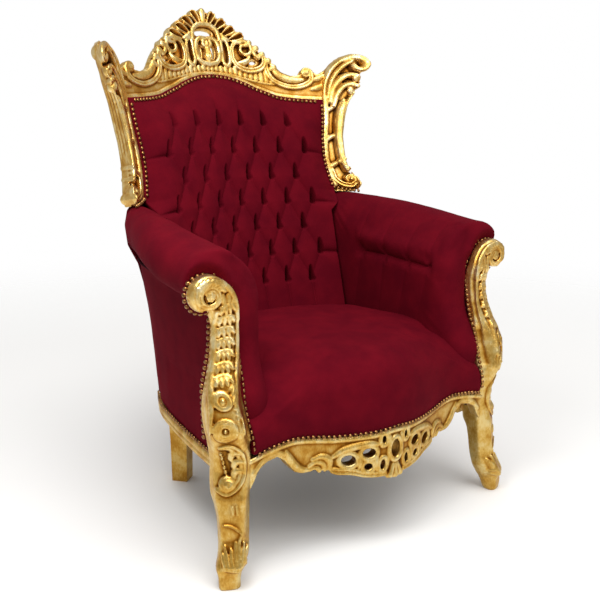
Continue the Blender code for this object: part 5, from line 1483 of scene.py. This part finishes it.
def back_nails():
    """Nails round the inside back, under the crest and beside the uprights."""
    crest = [on_back(x, z - 0.003, 0.0035) for x, z in curve_through(VELVET_TOP, 6)[:-2]]
    side = [on_back(x - 0.0015, z, 0.004) for x, z in curve_through([(0.3005, 0.984)] + VELVET_SIDE, 5)]
    nails = nail_line(crest, off_back) + nail_line(side, off_back)
    foot = [on_stile(x, z, -0.002) for x, z in ((0.3, 0.757), (0.325, 0.75), (0.346, 0.748))]
    nails += nail_line(foot, lambda x, y, z: (0.1, -1.0, 0.3))
    return spread_out("back_nails", nail_head(), both_sides(nails))


def seat_nails():
    """Nails along the front and side rails and on the edges of the arm posts."""
    front = [on_rail(x, follow(RAIL_TOP_Z, x) + 0.0055, 0.0045) for x in np.linspace(0.0, 0.33, 40)]
    nails = nail_line(front, lambda x, y, z: (0.0, -1.0, 0.35))
    side = []
    for x, y in curve_through(SHELL_PLAN, 6):
        side.append((x + 0.0015, y, follow(RAIL_HIGH_Z, y) + 0.0055))
    nails += nail_line(side, lambda x, y, z: (1.0, 0.15, 0.1))
    nails += nail_line(curve_through(POST_NAILS_INNER, 3), lambda x, y, z: (-0.8, -0.6, 0.0))
    u, v = VOLUTE_CENTRE
    ring = VOLUTE_RADIUS + 0.004
    around = [(u + ring * math.cos(a), -0.283, v + ring * math.sin(a))
              for a in np.radians(range(130, -121, -10))]
    nails += nail_line(around, lambda x, y, z: (x - u, -0.015, z - v))
    outer = [(follow(POST_NAILS_OUTER, z), -0.281, z) for z in np.linspace(0.57, 0.312, 22)]
    nails += nail_line(outer, lambda x, y, z: (1.0, -0.4, 0.0))
    return spread_out("seat_nails", nail_head(), both_sides(nails))


def outside_nails():
    """Nails round the outside panel at the rear."""
    line = [outside_edge(-0.975, v) for v in np.linspace(0.99, 0.01, 60)]
    line += [outside_edge(u, 0.012) for u in np.linspace(-0.95, 0.95, 30)]
    line += [outside_edge(0.975, v) for v in np.linspace(0.01, 0.99, 60)]
    line += [outside_edge(u, 0.988) for u in np.linspace(0.95, -0.95, 60)]
    nails = nail_line([(x, y + 0.001, z) for x, y, z in line], lambda x, y, z: (BOW * x, 1.0, -0.2))
    return spread_out("outside_nails", nail_head(), nails)


# Stage, light and camera

def add_stage():
    """A pale floor that fades into the backdrop, so that no horizon shows."""
    bpy.ops.mesh.primitive_plane_add(size=14)
    floor = bpy.context.active_object
    floor.name = "studio_floor"
    made, tree, shader, place = new_material("pale_studio_floor")
    away = add_node(tree, "ShaderNodeVectorMath", {0: place}, operation="LENGTH").outputs["Value"]
    cover = add_node(tree, "ShaderNodeMapRange", {"Value": away},
                     {"From Min": 1.2, "From Max": 4.0, "To Min": 1.0, "To Max": 0.0},
                     interpolation_type="SMOOTHSTEP").outputs["Result"]
    tree.links.new(cover, shader.inputs["Alpha"])
    shader.inputs["Base Color"].default_value = linear("#f4f3f1")
    shader.inputs["Roughness"].default_value = 0.9
    floor.data.materials.append(made)


def add_light(name, where, aim, size, watts):
    """A square softbox that looks at a place."""
    bpy.ops.object.light_add(type="AREA", location=where)
    lamp = bpy.context.active_object
    lamp.name = name
    lamp.rotation_euler = (Vector(aim) - Vector(where)).to_track_quat("-Z", "Y").to_euler()
    lamp.data.shape = "SQUARE"
    lamp.data.size = size
    lamp.data.energy = watts


def add_sun(name, towards, strength, spread):
    """A soft distant lamp that shines from the side of towards, spread in degrees."""
    bpy.ops.object.light_add(type="SUN", location=towards)
    lamp = bpy.context.active_object
    lamp.name = name
    lamp.rotation_euler = Vector(towards).to_track_quat("Z", "Y").to_euler()
    lamp.data.energy = strength
    lamp.data.angle = math.radians(spread)


def add_camera():
    """The camera of the photograph."""
    bpy.ops.object.camera_add(location=CAMERA_PLACE, rotation=(CAMERA_PITCH, 0, CAMERA_TURN))
    camera = bpy.context.active_object
    camera.data.sensor_width = 36
    camera.data.lens = CAMERA_LENS
    bpy.context.scene.camera = camera


def add_world():
    """A white backdrop that lights the chair only half as strongly as it shows."""
    world = bpy.data.worlds.new("studio")
    world.use_nodes = True
    sky = world.node_tree
    seen = add_node(sky, "ShaderNodeLightPath").outputs["Is Camera Ray"]
    strength = add_node(sky, "ShaderNodeMapRange", {"Value": seen}, {"To Min": 0.5, "To Max": 1.0})
    sky.links.new(strength.outputs["Result"], sky.nodes["Background"].inputs["Strength"])
    sky.nodes["Background"].inputs["Color"].default_value = linear("#ffffff")
    bpy.context.scene.world = world
    bpy.context.scene.view_settings.view_transform = "Standard"


add_stage()
add_camera()
add_sun("overhead_sun", (-0.1, -0.6, 1.8), 1.6, 45)
add_light("softbox", (0.1, -2.8, 2.3), (0, 0, 0.9), 1.6, 18)
add_light("fill_over_left_arm", (-0.72, -0.5, 1.5), (0.33, -0.08, 0.52), 0.5, 9)
add_world()

# Pieces

crest = carve("carved_crest", crest_shapes(), CREST_VOXEL, mirrored=True, kept=CREST_KEPT)
finish_piece(crest, GOLD, ["crest_rail"])
rail = add_object("side_rail_right_visual", [side_rail()])
finish_pair(rail, "side_rail_left_visual", GOLD, "side_rail")
upright = carve("carved_upright_right", stile_shapes(), UPRIGHT_VOXEL)
finish_pair(upright, "carved_upright_left", GOLD, "back_stile")
leg = carve("carved_leg_right", leg_shapes(), LEG_VOXEL)
swell_corner(leg)
finish_pair(leg, "carved_leg_left", GOLD, "front_leg")
front_rail = carve("carved_front_rail", front_rail_shapes(), RAIL_VOXEL, mirrored=True)
finish_piece(front_rail, GOLD, ["front_rail"])
finish_piece(make_back(), VELVET, ["back_upholstery"])
finish_pair(make_arm(), "arm_pad_left", VELVET, "arm_upholstery")
seat = make_seat()
finish_piece(seat, VELVET, ["seat_upholstery"])
cover_underside(seat, CAMBRIC)
piping = make_piping("arm_piping_right")
finish_piece(twin(piping, "arm_piping_left"), CORD_IN_PAINTED_SHADOW)
finish_piece(piping, CORD_IN_PAINTED_SHADOW)
finish_piece(make_outside_back(), VELVET, ["outside_back"])
buttons = spread_out("covered_buttons", button_cover(BUTTON_RADIUS), back_button_places())
finish_piece(buttons, VELVET)
for nails in (outside_nails, back_nails, seat_nails):
    finish_piece(nails(), BRASS)
# The rear rail and the rear legs are plain in the frame too, so they only get their finish
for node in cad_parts.values():
    if not node.hide_render:
        node.data.materials.clear()
        node.data.materials.append(GOLD)
